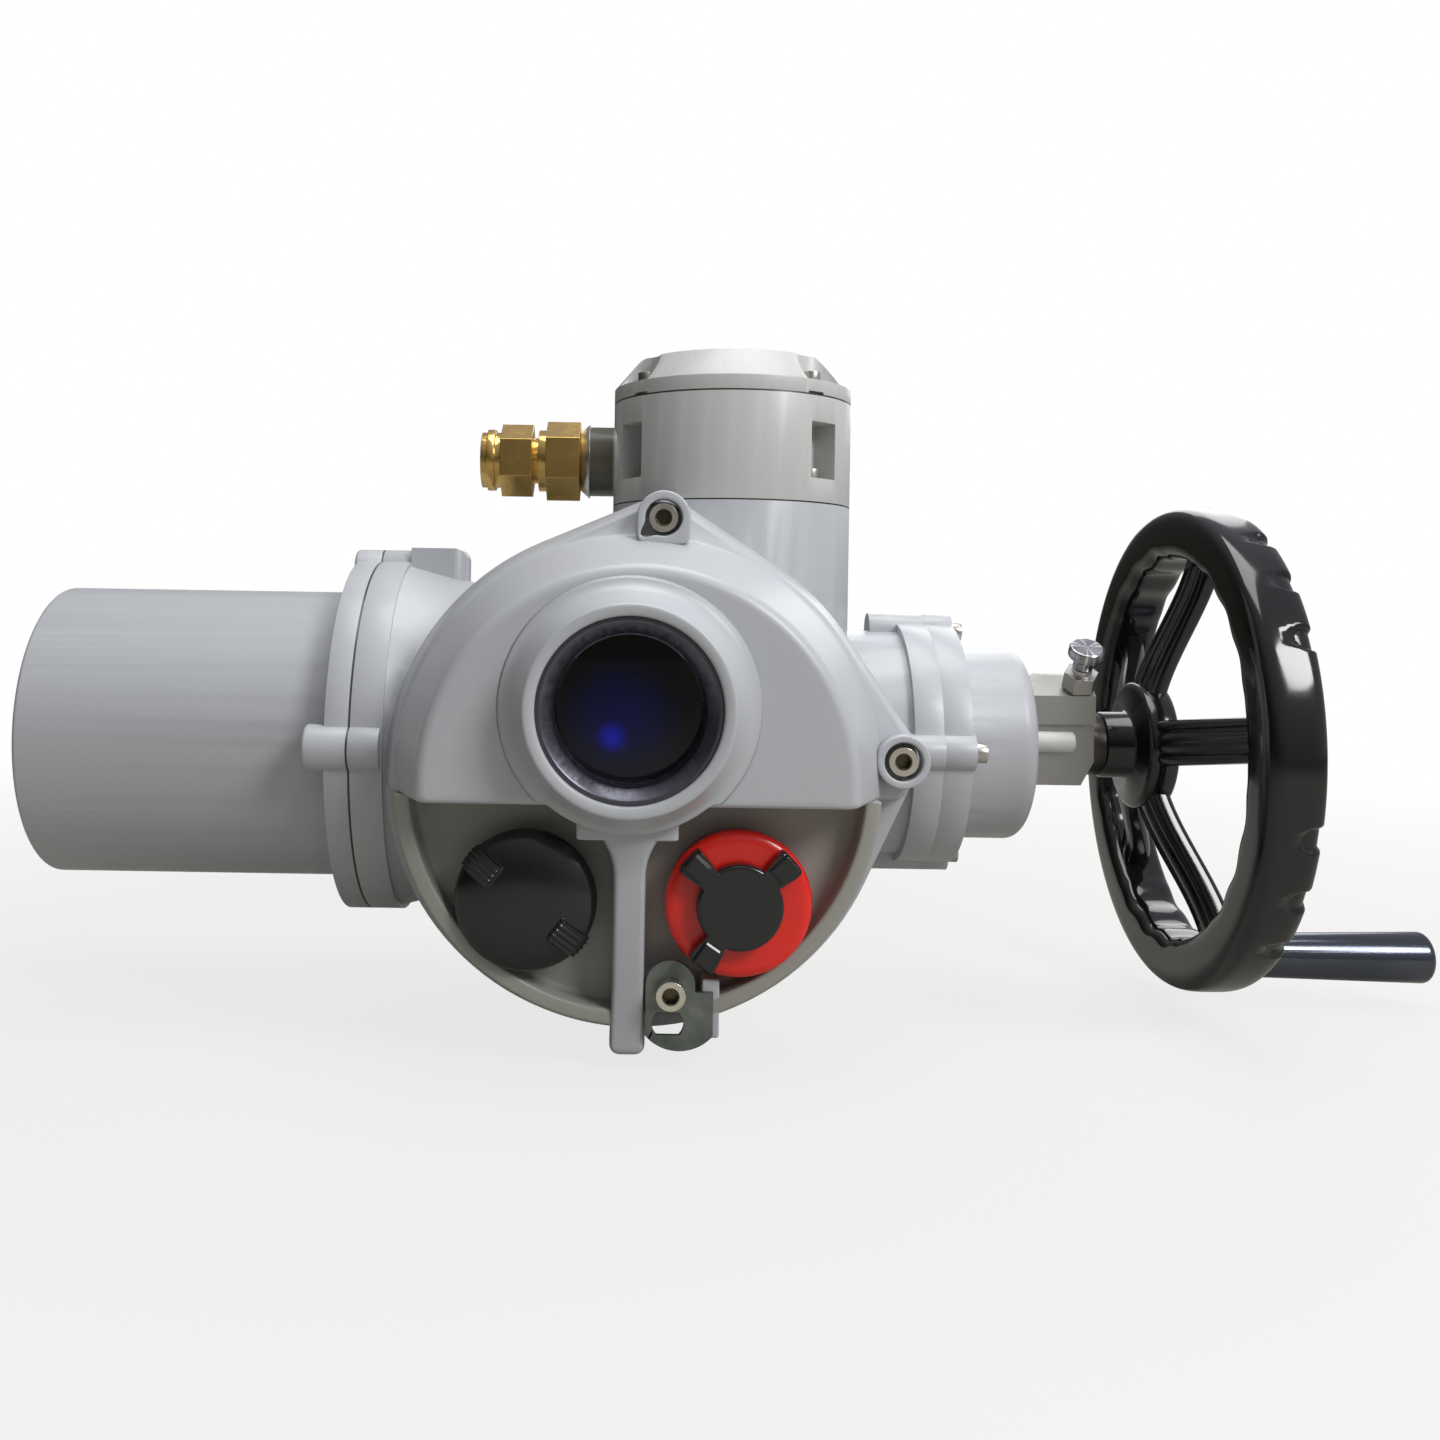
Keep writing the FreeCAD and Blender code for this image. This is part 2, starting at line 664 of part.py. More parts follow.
def selector_arm():
    """Three-armed black cap on the red knob."""
    x, y0 = knob_shift + knob_x, joint_y - cover_recess_floor - knob_gap - red_knob_height
    thick = 7.0
    parts = [cyl(arm_disc_radius, thick, (0, 0, 0)),
             cone(arm_disc_radius, arm_disc_radius - 4, 2, (0, 0, thick))]
    for angle in (42, 138, 236):
        arm = fused([box((0, -arm_width / 2, 0), (arm_reach - arm_pad_radius, arm_width / 2, thick)),
                     cyl(arm_pad_radius, thick + 1, (arm_reach - arm_pad_radius, 0, 0))])
        arm.rotate(V(0, 0, 0), Z, angle)
        parts.append(arm)
    cap = fused(parts)
    cap.Placement = FreeCAD.Placement(V(x, y0, knob_z), FreeCAD.Rotation(X, 90))
    return cap


# Motor
def motor_screw_sizes():
    """Angle, bolt circle and length through the motor's flange or lug of each motor screw."""
    sizes = []
    for angle in motor_lug_angles:
        length = motor_top_lug_length if angle == motor_top_angle else motor_lug_length
        sizes.append((angle, motor_bolt_radius, length))
    return sizes + [(motor_low_angle, motor_low_bolt_radius, motor_flange_thickness)]


def motor_housing():
    start = motor_end
    can = cyl(motor_radius, motor_seam - start, on_axis(start), X)
    can = can.makeFillet(2.5, [e for e in can.Edges if abs(e.CenterOfMass.x - start) < 0.1])
    parts = [can, cyl(motor_flange_radius, motor_flange_thickness,
                      on_axis(motor_seam - motor_flange_thickness), X)]
    for angle, radius, length in motor_screw_sizes()[:-1]:
        place = ring_point(radius + 2, angle, motor_seam - length)
        lug = cyl(motor_lug_radius, length, place, X)
        parts.append(lug.makeFillet(2, [e for e in lug.Edges if e.CenterOfMass.x < place[0] + 0.1]))
    body = fused(parts)
    inner = motor_radius - motor_wall
    hollows = [cyl(inner, motor_seam - start - motor_wall, on_axis(start + motor_wall), X)]
    for angle, radius, length in motor_screw_sizes():
        place = ring_point(radius, angle, motor_seam - length)
        hollows.append(cyl(m8_radius, length, place, X))
        hollows.append(cyl(m8_head_radius + motor_head_play, motor_head_depth, place, X))
    seat = tube(motor_bearing_outer + 6, motor_bearing_outer, bearing_width,
                on_axis(start + motor_wall), X)
    return fused([body.cut(fused(hollows)), seat])


def motor_flange_screws():
    screws = []
    for angle, radius, length in motor_screw_sizes():
        grip = length - motor_head_depth
        seat = ring_point(radius, angle, motor_seam - grip)
        screws.append(cap_screw(m8_head_radius, m8_radius, seat, (1, 0, 0), grip + 16))
    return Part.makeCompound(screws)


def stator():
    ring = tube(motor_radius - motor_wall, stator_bore, stator_length, on_axis(stator_start), X)
    slots = []
    for k in range(12):
        slot = box((stator_start, worm_y - 2, axis_height + stator_bore - 1),
                   (stator_start + stator_length, worm_y + 2, axis_height + stator_bore + 12))
        slots.append(around_x(slot, 30 * k))
    return ring.cut(fused(slots))


def stator_windings():
    ends = []
    for x in (stator_start - 16, stator_start + stator_length):
        ends.append(tube(motor_radius - motor_wall - 5, stator_bore + 5, 16, on_axis(x), X))
    return Part.makeCompound(ends)


def rotor():
    radius = stator_bore - air_gap
    core = cyl(radius, stator_length, on_axis(stator_start), X)
    ends = [cyl(radius - 4, 6, on_axis(x), X) for x in (stator_start - 6, stator_start + stator_length)]
    return fused([core] + ends).cut(cyl(shaft_radius, stator_length + 12, on_axis(stator_start - 6), X))


# Worm shaft, one thread start, and the wheel that it drives
def worm_thread():
    turns = 2 * worm_half_turns
    root = worm_pitch_radius - gear_module
    tip = worm_pitch_radius + 0.8 * gear_module
    flank = math.tan(math.radians(20))
    half_pitch_line = thread_pitch / 4 - tooth_play
    half_root = half_pitch_line + (worm_pitch_radius - root + worm_core_extra) * flank
    half_tip = half_pitch_line - (tip - worm_pitch_radius) * flank
    helix = Part.makeHelix(thread_pitch, thread_pitch * turns, worm_pitch_radius)
    low = root - worm_core_extra
    profile = Part.makePolygon([V(low, 0, -half_root), V(tip, 0, -half_tip), V(tip, 0, half_tip),
                                V(low, 0, half_root), V(low, 0, -half_root)])
    return Part.Wire(helix.Edges).makePipeShell([profile], True, True)


def worm_shaft():
    """Shaft through motor, worm and handwheel, with the worm cut on its thickest stretch."""
    length = thread_pitch * 2 * worm_half_turns
    thread = worm_thread()
    core = cyl(worm_pitch_radius - gear_module, length + 2 * thread_pitch, (0, 0, -thread_pitch))
    worm = fused([core, thread])
    worm.Placement = FreeCAD.Placement(V(-length / 2, worm_y, axis_height), FreeCAD.Rotation(V(1, 1, 1), 120))
    shaft = cyl(shaft_radius, shaft_end - shaft_start, on_axis(shaft_start), X)
    collar_length = bearing_offset - bearing_width / 2 - 0.3 - length / 2 - thread_pitch
    collars = [cyl(worm_pitch_radius - 4, collar_length, on_axis(x), X)
               for x in (length / 2 + thread_pitch, -length / 2 - thread_pitch - collar_length)]
    return fused([worm, shaft] + collars)


def worm_wheel():
    """Helical wheel: forty teeth that lean by the lead angle of the worm."""
    root = wheel_radius_pitch - 1.15 * gear_module
    tip = wheel_radius_pitch + 0.75 * gear_module
    flank = math.tan(math.radians(20))
    half_line = thread_pitch / 4 - tooth_play
    half_root = half_line + (wheel_radius_pitch - root) * flank
    half_tip = half_line - (tip - wheel_radius_pitch) * flank
    lean = wheel_face * thread_pitch / (2 * math.pi * worm_pitch_radius) / wheel_radius_pitch
    step = 2 * math.pi / wheel_teeth
    wires = []
    corners = ((root, -half_root), (tip, -half_tip), (tip, half_tip), (root, half_root))
    for level in (-1, 1):
        z = axis_height + level * wheel_face / 2
        points = []
        for k in range(wheel_teeth):
            centre = -math.pi / 2 + (k + 0.5) * step + level * lean / 2
            for radius, half in corners:
                a = centre + half / radius
                points.append(V(radius * math.cos(a), radius * math.sin(a), z))
        wires.append(Part.makePolygon(points + [points[0]]))
    rim = Part.makeLoft(wires, True, True)
    low, high = axis_height - wheel_face / 2, axis_height + wheel_face / 2
    groove = [tube(root - 4, sleeve_radius + 6, 4, (0, 0, z)) for z in (low, high - 4)]
    return rim.cut(fused(groove + [cyl(sleeve_radius, wheel_face, (0, 0, low))])).cut(wheel_key())


def worm_bearing(x):
    parts = [tube(bearing_outer, bearing_outer - 4, bearing_width, on_axis(x - bearing_width / 2), X),
             tube(bearing_outer - 4, shaft_radius + 3, bearing_width - 3,
                  on_axis(x - bearing_width / 2 + 1.5), X),
             tube(shaft_radius + 3, shaft_radius + running_clearance, bearing_width,
                  on_axis(x - bearing_width / 2), X)]
    return fused(parts)


def motor_bearing():
    start = motor_end + motor_wall
    return tube(motor_bearing_outer, shaft_radius + running_clearance, bearing_width - 2,
                on_axis(start + 2), X)


def worm_seal():
    return tube(shaft_radius + 6, shaft_radius + running_clearance, seal_width,
                on_axis(-bearing_offset - bearing_width / 2 - seal_width), X)


# Output drive
def drive_sleeve():
    """Hollow output shaft with a keyed bore at its lower end."""
    low, high = 2.0, chamber_top + sleeve_bearing_width + 2
    body = cyl(sleeve_radius, high - low, (0, 0, low)).cut(wheel_key())
    key_half = keyway_width / 2
    keyway = box((-key_half, 0, low), (key_half, sleeve_bore + keyway_depth, low + sleeve_bore_length))
    return body.cut(fused([cyl(sleeve_bore, sleeve_bore_length, (0, 0, low)), keyway,
                           cyl(sleeve_bore - 2, high, (0, 0, low))]))


def wheel_key():
    half = 4.0
    low = axis_height - wheel_face / 2 + 2
    return box((sleeve_radius - 3, -half, low), (sleeve_radius + 3, half, low + wheel_face - 4))


def output_bearing(z):
    outer, inner = sleeve_bearing_outer - 3, sleeve_radius + 4
    return fused([tube(sleeve_bearing_outer, outer, sleeve_bearing_width, (0, 0, z)),
                  tube(outer, inner, sleeve_bearing_width - 3, (0, 0, z + 1.5)),
                  tube(inner, sleeve_radius + running_clearance, sleeve_bearing_width, (0, 0, z))])


def output_seal():
    return tube(sleeve_radius + 3, sleeve_radius + running_clearance, seal_width, (0, 0, base_thickness))


def base_flange():
    disc = cyl(base_radius, base_thickness, (0, 0, 0))
    disc = disc.makeFillet(1.5, [e for e in disc.Edges if e.CenterOfMass.z < 0.1])
    spigot = cyl(wheel_chamber_radius - spigot_clearance, spigot_top - base_thickness, (0, 0, base_thickness))
    disc = fused([disc, spigot])
    holes = [cyl(sleeve_radius + 1, spigot_top, (0, 0, 0)),
             cyl(sleeve_bearing_outer, sleeve_bearing_width, (0, 0, spigot_top - sleeve_bearing_width)),
             cyl(sleeve_radius + 3, seal_width, (0, 0, base_thickness))]
    for k in range(4):
        a = math.radians(90 * k + 45)
        holes.append(cyl(base_bolt_radius, base_bolt_depth, (base_bolt_circle / 2 * math.cos(a),
                                                             base_bolt_circle / 2 * math.sin(a), 0)))
    for angle in base_screw_angles:
        a = math.radians(angle)
        x, y = base_screw_circle * math.cos(a), base_screw_circle * math.sin(a)
        holes += [cyl(m6_radius, base_thickness, (x, y, 0)), cyl(m6_head_radius + 0.5, 8, (x, y, 0))]
    return disc.cut(fused(holes))


def base_screws():
    screws = []
    for angle in base_screw_angles:
        a = math.radians(angle)
        seat = (base_screw_circle * math.cos(a), base_screw_circle * math.sin(a), 8)
        screws.append(cap_screw(m6_head_radius, m6_radius, seat, (0, 0, 1), base_thickness - 8 + 14))
    return Part.makeCompound(screws)


def stem_plug():
    """Round plug over the hollow drive sleeve, with a slot for a wide blade."""
    top = gear_tower_top
    plug = fused([cyl(stem_plug_radius, 10, (0, 0, top - 10)),
                  cyl(stem_plug_radius + 4, 5, (0, 0, top))])
    plug = plug.makeFillet(1.5, [e for e in plug.Edges if e.CenterOfMass.z > top + 4.9])
    return plug.cut(box((-stem_plug_radius, -1.5, top + 3), (stem_plug_radius, 1.5, top + 5)))


# Cover on the handwheel side
def gear_cover():
    length = gear_cover_end - gear_seam
    cup = cyl(gear_cover_radius, length, on_axis(gear_seam), X)
    cup = cup.makeFillet(8, [e for e in cup.Edges if abs(e.CenterOfMass.x - gear_cover_end) < 0.1])
    parts = [cup, cyl(gear_flange_radius, gear_flange_thickness, on_axis(gear_seam), X)]
    lug_places = [ring_point(gear_bolt_radius, angle, gear_seam) for angle in gear_lug_angles]
    parts += [cyl(gear_lug_radius, gear_flange_thickness + 1, place, X) for place in lug_places]
    inner = gear_cover_radius - gear_cover_wall
    hollows = [cyl(inner, length - gear_cover_wall, on_axis(gear_seam), X),
               cyl(shaft_seal_radius, length, on_axis(gear_seam), X)]
    hollows += [cyl(m6_radius, gear_flange_thickness + 1, place, X) for place in lug_places]
    seat = tube(bearing_outer + 5, bearing_outer, bearing_width, on_axis(handwheel_bearing_start), X)
    return fused([fused(parts).cut(fused(hollows)), seat])


def gear_cover_screws():
    seat = gear_seam + gear_flange_thickness + 1
    places = [ring_point(gear_bolt_radius, angle, seat) for angle in gear_lug_angles]
    length = gear_flange_thickness + 15
    screws = [cap_screw(m6_head_radius, m6_radius, place, (-1, 0, 0), length) for place in places]
    return Part.makeCompound(screws)


def shaft_seal():
    return tube(shaft_seal_radius, shaft_radius + running_clearance, gear_cover_wall,
                on_axis(gear_cover_end - gear_cover_wall), X)


# Steel block round the shaft, with its pull plunger
def plunger_direction():
    a = math.radians(plunger_tilt)
    return V(0, -math.sin(a), math.cos(a))


def on_plunger(distance):
    return tuple(V(plunger_x, worm_y, axis_height) + plunger_direction() * distance)


def seat_height(y):
    """Height above the shaft axis of the sloping seat at the distance y behind that axis."""
    a = math.radians(plunger_tilt)
    return (plunger_seat + y * math.sin(a)) / math.cos(a)


def block_prism(outline, x0, x1):
    points = [(x0, worm_y + y, axis_height + z) for y, z in outline]
    return prism(points, V(x1 - x0, 0, 0))


def shaft_block():
    """Block whose sloping seat, square to the plunger, stands out over the lower front face."""
    w = block_half_width
    lip = w + block_lip
    top = seat_height(-block_top_half)
    outline = [(-w, block_low), (w, block_low), (w, block_back_shoulder),
               (block_top_half, top), (-block_top_half, top),
               (-lip, seat_height(-lip)), (-lip, block_shoulder), (-w, block_shoulder)]
    bar = block_prism(outline, gear_cover_end, block_end)
    foot_x, foot_z = block_foot_chamfer
    head_x, head_z = block_head_chamfer
    front = worm_y - lip - 1
    low = axis_height + block_low
    high = axis_height + top
    across = V(0, 2 * lip + 2, 0)
    foot = prism([(block_end - foot_x, front, low), (block_end, front, low),
                  (block_end, front, low + foot_z)], across)
    head = prism([(gear_cover_end, front, high - head_z), (gear_cover_end + head_x, front, high),
                  (gear_cover_end, front, high)], across)
    length = block_end - gear_cover_end
    hollows = [cyl(shaft_radius + 2, length, on_axis(gear_cover_end), X),
               cyl(collar_radius + 1, length, on_axis(collar_start - 1), X),
               cyl(plunger_pin_radius + 2, plunger_seat, on_plunger(0), plunger_direction()),
               cyl(pin_radius, pin_length, stop_pin_start(), X)]
    return bar.cut(fused(hollows + [foot, head]))


def stop_pin_start():
    return (gear_cover_end, worm_y - block_half_width, axis_height + pin_rise)


def stop_pin():
    pin = cyl(pin_radius, pin_length, stop_pin_start(), X)
    return pin.makeFillet(1.2, [e for e in pin.Edges if e.CenterOfMass.x > gear_cover_end + pin_length - 0.1])


def plunger_top():
    return plunger_seat + plunger_stem + plunger_nut + plunger_neck


def plunger_body():
    d = plunger_direction()
    base = plunger_seat
    nut = base + plunger_stem
    parts = [cyl(plunger_hex / 2 - 1, plunger_stem, on_plunger(base), d),
             hexagon(plunger_hex, plunger_nut, on_plunger(nut), d),
             cyl(plunger_neck_radius, plunger_neck, on_plunger(nut + plunger_nut), d)]
    bores = [cyl(plunger_pin_radius + running_clearance, plunger_top() - base, on_plunger(base), d),
             cyl(plunger_pin_radius + 2, plunger_stem + spring_pocket, on_plunger(base), d)]
    return fused(parts).cut(fused(bores))


def pin_tip():
    """Distance of the pin's tip from the shaft axis at rest."""
    return shaft_radius + pin_tip_gap


def plunger_pin():
    d = plunger_direction()
    stop = plunger_top() + plunger_rest_gap + 2 * plunger_knob_height - 3
    pin = cyl(plunger_pin_radius, stop - pin_tip(), on_plunger(pin_tip()), d)
    return fused([pin, cyl(plunger_pin_radius + 1.6, 1.5, on_plunger(pin_tip() + pin_shoulder), d)])


def plunger_spring():
    start = pin_tip() + pin_shoulder + 1.5
    stop = plunger_seat + plunger_stem + spring_pocket
    helix = Part.makeHelix((stop - start - 1) / spring_turns, stop - start - 1, plunger_pin_radius + 1)
    circle = Part.Wire([Part.Circle(V(plunger_pin_radius + 1, 0, 0), Y, 0.45).toShape()])
    coil = Part.Wire(helix.Edges).makePipeShell([circle], True, True)
    coil.Placement = FreeCAD.Placement(V(*on_plunger(start + 0.5)), FreeCAD.Rotation(Z, plunger_direction()))
    return coil


def plunger_knob():
    d = plunger_direction()
    start = plunger_top() + plunger_rest_gap
    neck = cyl(plunger_neck_radius, plunger_knob_height, on_plunger(start), d)
    disc = cyl(plunger_knob_radius, plunger_knob_height, on_plunger(start + plunger_knob_height), d)
    disc = disc.makeChamfer(0.8, disc.Edges)
    bore = cyl(plunger_pin_radius, 2 * plunger_knob_height - 3, on_plunger(start), d)
    return fused([neck, disc]).cut(bore)


def shift_collar():
    """Ring beside the handwheel's hub; its inner face is one side of the plunger's groove."""
    start = plunger_x + groove_width / 2
    return tube(collar_radius, shaft_radius, hub_start - start, on_axis(start), X)


def collar_stop():
    """Ring on the shaft that is the other side of the plunger's groove."""
    stop = plunger_x - groove_width / 2
    return tube(collar_radius, shaft_radius, stop - collar_start, on_axis(collar_start), X)


# Handwheel, its nut and its turning handle
def rim_circles(rim, x0, x1):
    """The four round edges of the rim before its corners are rounded."""
    return [e for e in rim.Edges if e.Length > 2 * (wheel_radius - rim_thickness)
            and min(abs(e.CenterOfMass.x - x0), abs(e.CenterOfMass.x - x1)) < 0.01]


def handwheel():
    outer, inner = wheel_radius, wheel_radius - rim_thickness
    x0, x1 = rim_inboard, rim_inboard + rim_width
    mid = (x0 + x1) / 2
    section = prism([(x0, 0, inner), (x1, 0, inner), (x1, 0, outer), (x0, 0, outer)], V(0, 1, 0)).Faces
    face = [f for f in section if abs(f.CenterOfMass.y) < 0.01][0]
    rim = face.revolve(V(0, 0, 0), X, 360)
    rim = rim.makeFillet(rim_corner, rim_circles(rim, x0, x1))
    start, stop = hub_radius - 2, inner + 4
    near, far = mid - spoke_thickness / 2, mid + spoke_thickness / 2
    spoke_outline = [(hub_disc_start + 1, start), (hub_disc_start + 1, start + 8), (near, stop),
                     (far, stop), (hub_end - 1, start + 8), (hub_end - 1, start)]
    groove_outline = [(hub_disc_start - 2, hub_disc_radius + 4), (near - 3, inner - 4),
                      (near + 2, inner - 4), (hub_disc_start + 5, hub_disc_radius + 4)]
    half = spoke_width / 2
    bar = prism([(x, -half, z) for x, z in spoke_outline], V(0, spoke_width, 0))
    groove = prism([(x, -spoke_groove_half, z) for x, z in groove_outline], V(0, 2 * spoke_groove_half, 0))
    spokes = []
    for k in range(spoke_count):
        spoke = bar.cut(groove)
        spoke.rotate(V(0, 0, 0), X, 90 - spoke_first_angle - 360 / spoke_count * k)
        spokes.append(spoke)
    hub = fused([cyl(hub_radius, hub_end - hub_start, (hub_start, 0, 0), X),
                 cyl(hub_disc_radius, hub_end - hub_disc_start, (hub_disc_start, 0, 0), X)])
    body = fused([rim, hub] + spokes)
    body = body.cut(cyl(shaft_radius, 60, (hub_start, 0, 0), X))
    body.translate(V(0, worm_y, axis_height))
    grips = []
    for k in range(spoke_count):
        middle = spoke_first_angle + 360 / spoke_count * (k + 0.5)
        for j in range(grips_between_spokes):
            angle = middle + grip_spacing * (j - (grips_between_spokes - 1) / 2)
            place = ring_point(outer + grip_radius - grip_depth, angle, mid)
            grips.append(cyl(grip_radius, rim_width, place, X))
    body = body.cut(fused(grips))
    hole = cyl(handle_bore, rim_width + 2, ring_point(handle_circle, handle_angle, x0 - 1), X)
    recess = cyl(handle_bore + 5, 9, ring_point(handle_circle, handle_angle, x0 - 1), X)
    return body.cut(fused([hole, recess]))


def hub_nut():
    nut = hexagon(24, 8, on_axis(hub_end), X)
    return nut.cut(cyl(shaft_radius, 8, on_axis(hub_end), X))


def handle_spindle():
    """Shouldered bolt through the rim, with a nut sunk in the rim's inboard face."""
    x0, x1 = rim_inboard, rim_inboard + rim_width
    head = x1 + handle_gap + handle_length - 12
    parts = [cyl(handle_bore, head - x0 - 1, ring_point(handle_circle, handle_angle, x0 + 1), X),
             cyl(handle_bore + 2.5, 3, ring_point(handle_circle, handle_angle, head), X)]
    nut = hexagon(19, 6, ring_point(handle_circle, handle_angle, x0 + 2), X)
    return fused(parts + [nut])


def handle_grip():
    start = rim_inboard + rim_width + handle_gap
    place = ring_point(handle_circle, handle_angle, start)
    grip = cone(handle_root_radius, handle_end_radius, handle_length, place, X)
    grip = grip.makeFillet(4, [e for e in grip.Edges if e.CenterOfMass.x > start + handle_length - 0.1])
    clear = 0.06
    head = start + handle_length - 12
    bores = [cyl(handle_bore + clear, handle_length - 10, place, X),
             cyl(handle_bore + 2.8, 4, ring_point(handle_circle, handle_angle, head - 0.4), X)]
    return grip.cut(fused(bores))


# Terminal tower with its lid, screws, cable gland and plug
def terminal_housing():
    height = tower_lid_seam - tower_seam
    body = cyl(tower_radius, height, (tower_x, tower_y, tower_seam))
    boss = cyl(gland_boss_radius, gland_boss_end, (tower_x - gland_boss_end, tower_y, gland_height), X)
    back_boss = cyl(gland_boss_radius, gland_boss_end, (tower_x, tower_y, gland_height), Y)
    body = fused([body, boss, back_boss])
    inner = tower_radius - tower_wall
    cuts = [cyl(inner - tower_inner_step, height, (tower_x, tower_y, tower_seam)),
            cyl(gland_thread_radius, gland_boss_end, (tower_x - gland_boss_end, tower_y, gland_height), X),
            cyl(gland_thread_radius, gland_boss_end, (tower_x, tower_y, gland_height), Y)]
    body = body.cut(fused(cuts))
    pockets = []
    for place in tower_screw_places(tower_seam):
        x, y = place[0] - tower_x, place[1] - tower_y
        half = tower_pocket_half
        pocket = box((0, -half, tower_seam + housing_floor),
                     (tower_pocket_depth, half, tower_lid_seam - housing_ceiling))
        pocket.rotate(V(0, 0, 0), Z, math.degrees(math.atan2(y, x)))
        pocket.translate(V(tower_x + x * tower_pocket_share, tower_y + y * tower_pocket_share, 0))
        pockets += [pocket, cyl(m5_radius, housing_floor, place)]
        tap = (place[0], place[1], tower_lid_seam - lid_screw_bite)
        pockets.append(cyl(m5_radius, lid_screw_bite, tap))
    return body.cut(fused(pockets))


def terminal_housing_screws():
    length = housing_floor + housing_screw_bite
    return Part.makeCompound([cap_screw(m5_head_radius, m5_radius, place, (0, 0, -1), length)
                              for place in tower_screw_places(tower_seam + housing_floor)])


def terminal_cover():
    """Shallow coned lid with round pockets over its four screws."""
    z0 = tower_lid_seam
    lid = fused([cyl(tower_radius, lid_rim, (tower_x, tower_y, z0)),
                 cone(tower_radius, lid_top_radius, lid_height - lid_rim, (tower_x, tower_y, z0 + lid_rim))])
    cuts = [cyl(tower_radius - tower_wall - tower_inner_step, lid_rim + 4, (tower_x, tower_y, z0))]
    for place in tower_screw_places(z0):
        cuts.append(cyl(m5_radius, lid_height, place))
        x, y = place[0] - tower_x, place[1] - tower_y
        centre = (tower_x + x * lid_pocket_shift, tower_y + y * lid_pocket_shift, z0 + lid_rim)
        cuts.append(cyl(lid_pocket_radius, lid_height, centre))
    for angle in (-52, 38, 128, 218):
        a = math.radians(angle)
        notch = box((tower_radius - 3, -5, z0), (tower_radius + 3, 5, z0 + 1.2))
        notch.rotate(V(0, 0, 0), Z, math.degrees(a) - 90)
        notch.translate(V(tower_x, tower_y, 0))
        cuts.append(notch)
    return lid.cut(fused(cuts))


def terminal_cover_screws():
    return Part.makeCompound([cap_screw(m5_head_radius, m5_radius, place, (0, 0, -1), lid_rim + 10)
                              for place in tower_screw_places(tower_lid_seam + lid_rim)])


def terminal_block():
    """Row of screw terminals on a rail that spans the terminal space of the case."""
    low = tower_seam - terminal_clearance
    seat = tower_floor + rail_lift + rail_thickness
    rail = box((tower_x - rail_half, tower_y - rail_half_width, tower_floor + rail_lift),
               (tower_x + rail_half, tower_y + rail_half_width, seat))
    foot = [box((x - rail_foot_half, tower_y - 5, tower_floor), (x + rail_foot_half, tower_y + 5, seat))
            for x in (tower_x - rail_foot_place, tower_x + rail_foot_place)]
    starts = [tower_x + terminal_start + terminal_pitch * k for k in range(terminal_count)]
    blocks = [box((x, tower_y - terminal_half_depth, seat),
                  (x + terminal_width, tower_y + terminal_half_depth, low)) for x in starts]
    link = box((tower_x + terminal_start - 1, tower_y - 8, seat),
               (tower_x - terminal_start, tower_y + 8, low - 6))
    return fused([rail, link] + foot + blocks)


def gland_washer():
    start = (gland_root(), tower_y, gland_height)
    ring = cone(gland_boss_radius - 3, gland_boss_radius + 1.5, washer_thickness, start, X)
    return ring.cut(cyl(gland_thread_radius, washer_thickness, start, X))


def gland_root():
    """Where the gland's hexagon meets its washer."""
    return tower_x - gland_boss_end - washer_thickness


def on_gland(distance):
    return (gland_root() - distance, tower_y, gland_height)


def gland_body():
    """Brass gland: thread into the boss, a hexagon, a collar and the threaded waist."""
    collar_end = gland_hex_length + gland_collar_length
    waist_end = collar_end + gland_waist_length
    parts = [cyl(gland_thread_radius, gland_thread_length, on_gland(0), X),
             hexagon(gland_hex, gland_hex_length, on_gland(gland_hex_length), X),
             cyl(gland_hex / 2 - 2, gland_collar_length, on_gland(collar_end), X),
             cyl(gland_thread_radius - 1, gland_waist_length, on_gland(waist_end), X)]
    return fused(parts).cut(cyl(gland_bore, gland_through, on_gland(50), X))


def gland_nut():
    """Brass clamping nut on the waist, with its ringed outer end."""
    start = gland_body_length
    hex_end = start + nut_hex_length
    parts = [hexagon(gland_hex - 3, nut_hex_length, on_gland(hex_end), X),
             cyl(gland_hex / 2 - 3.5, nut_end_length, on_gland(start + 26), X),
             cyl(gland_hex / 2 - 2, nut_ring_length, on_gland(start + 23), X)]
    return fused(parts).cut(fused([cyl(gland_thread_radius - 1, nut_hex_length, on_gland(hex_end), X),
                                   cyl(gland_bore, nut_through, on_gland(start + 40), X)]))


def gland_seal():
    root = tower_x - gland_boss_end - 5 - 24
    return tube(gland_thread_radius - 1, gland_bore, 4.5, (root - 16, tower_y, gland_height), X)


def entry_plug():
    """Hexagon plug in the second cable entry at the back of the tower."""
    start = tower_y + gland_boss_end
    return fused([cyl(gland_thread_radius, 14, (tower_x, start - 14, gland_height), Y),
                  cyl(gland_boss_radius - 1, 3, (tower_x, start, gland_height), Y),
                  hexagon(19, 7, (tower_x, start + 3, gland_height), Y)])


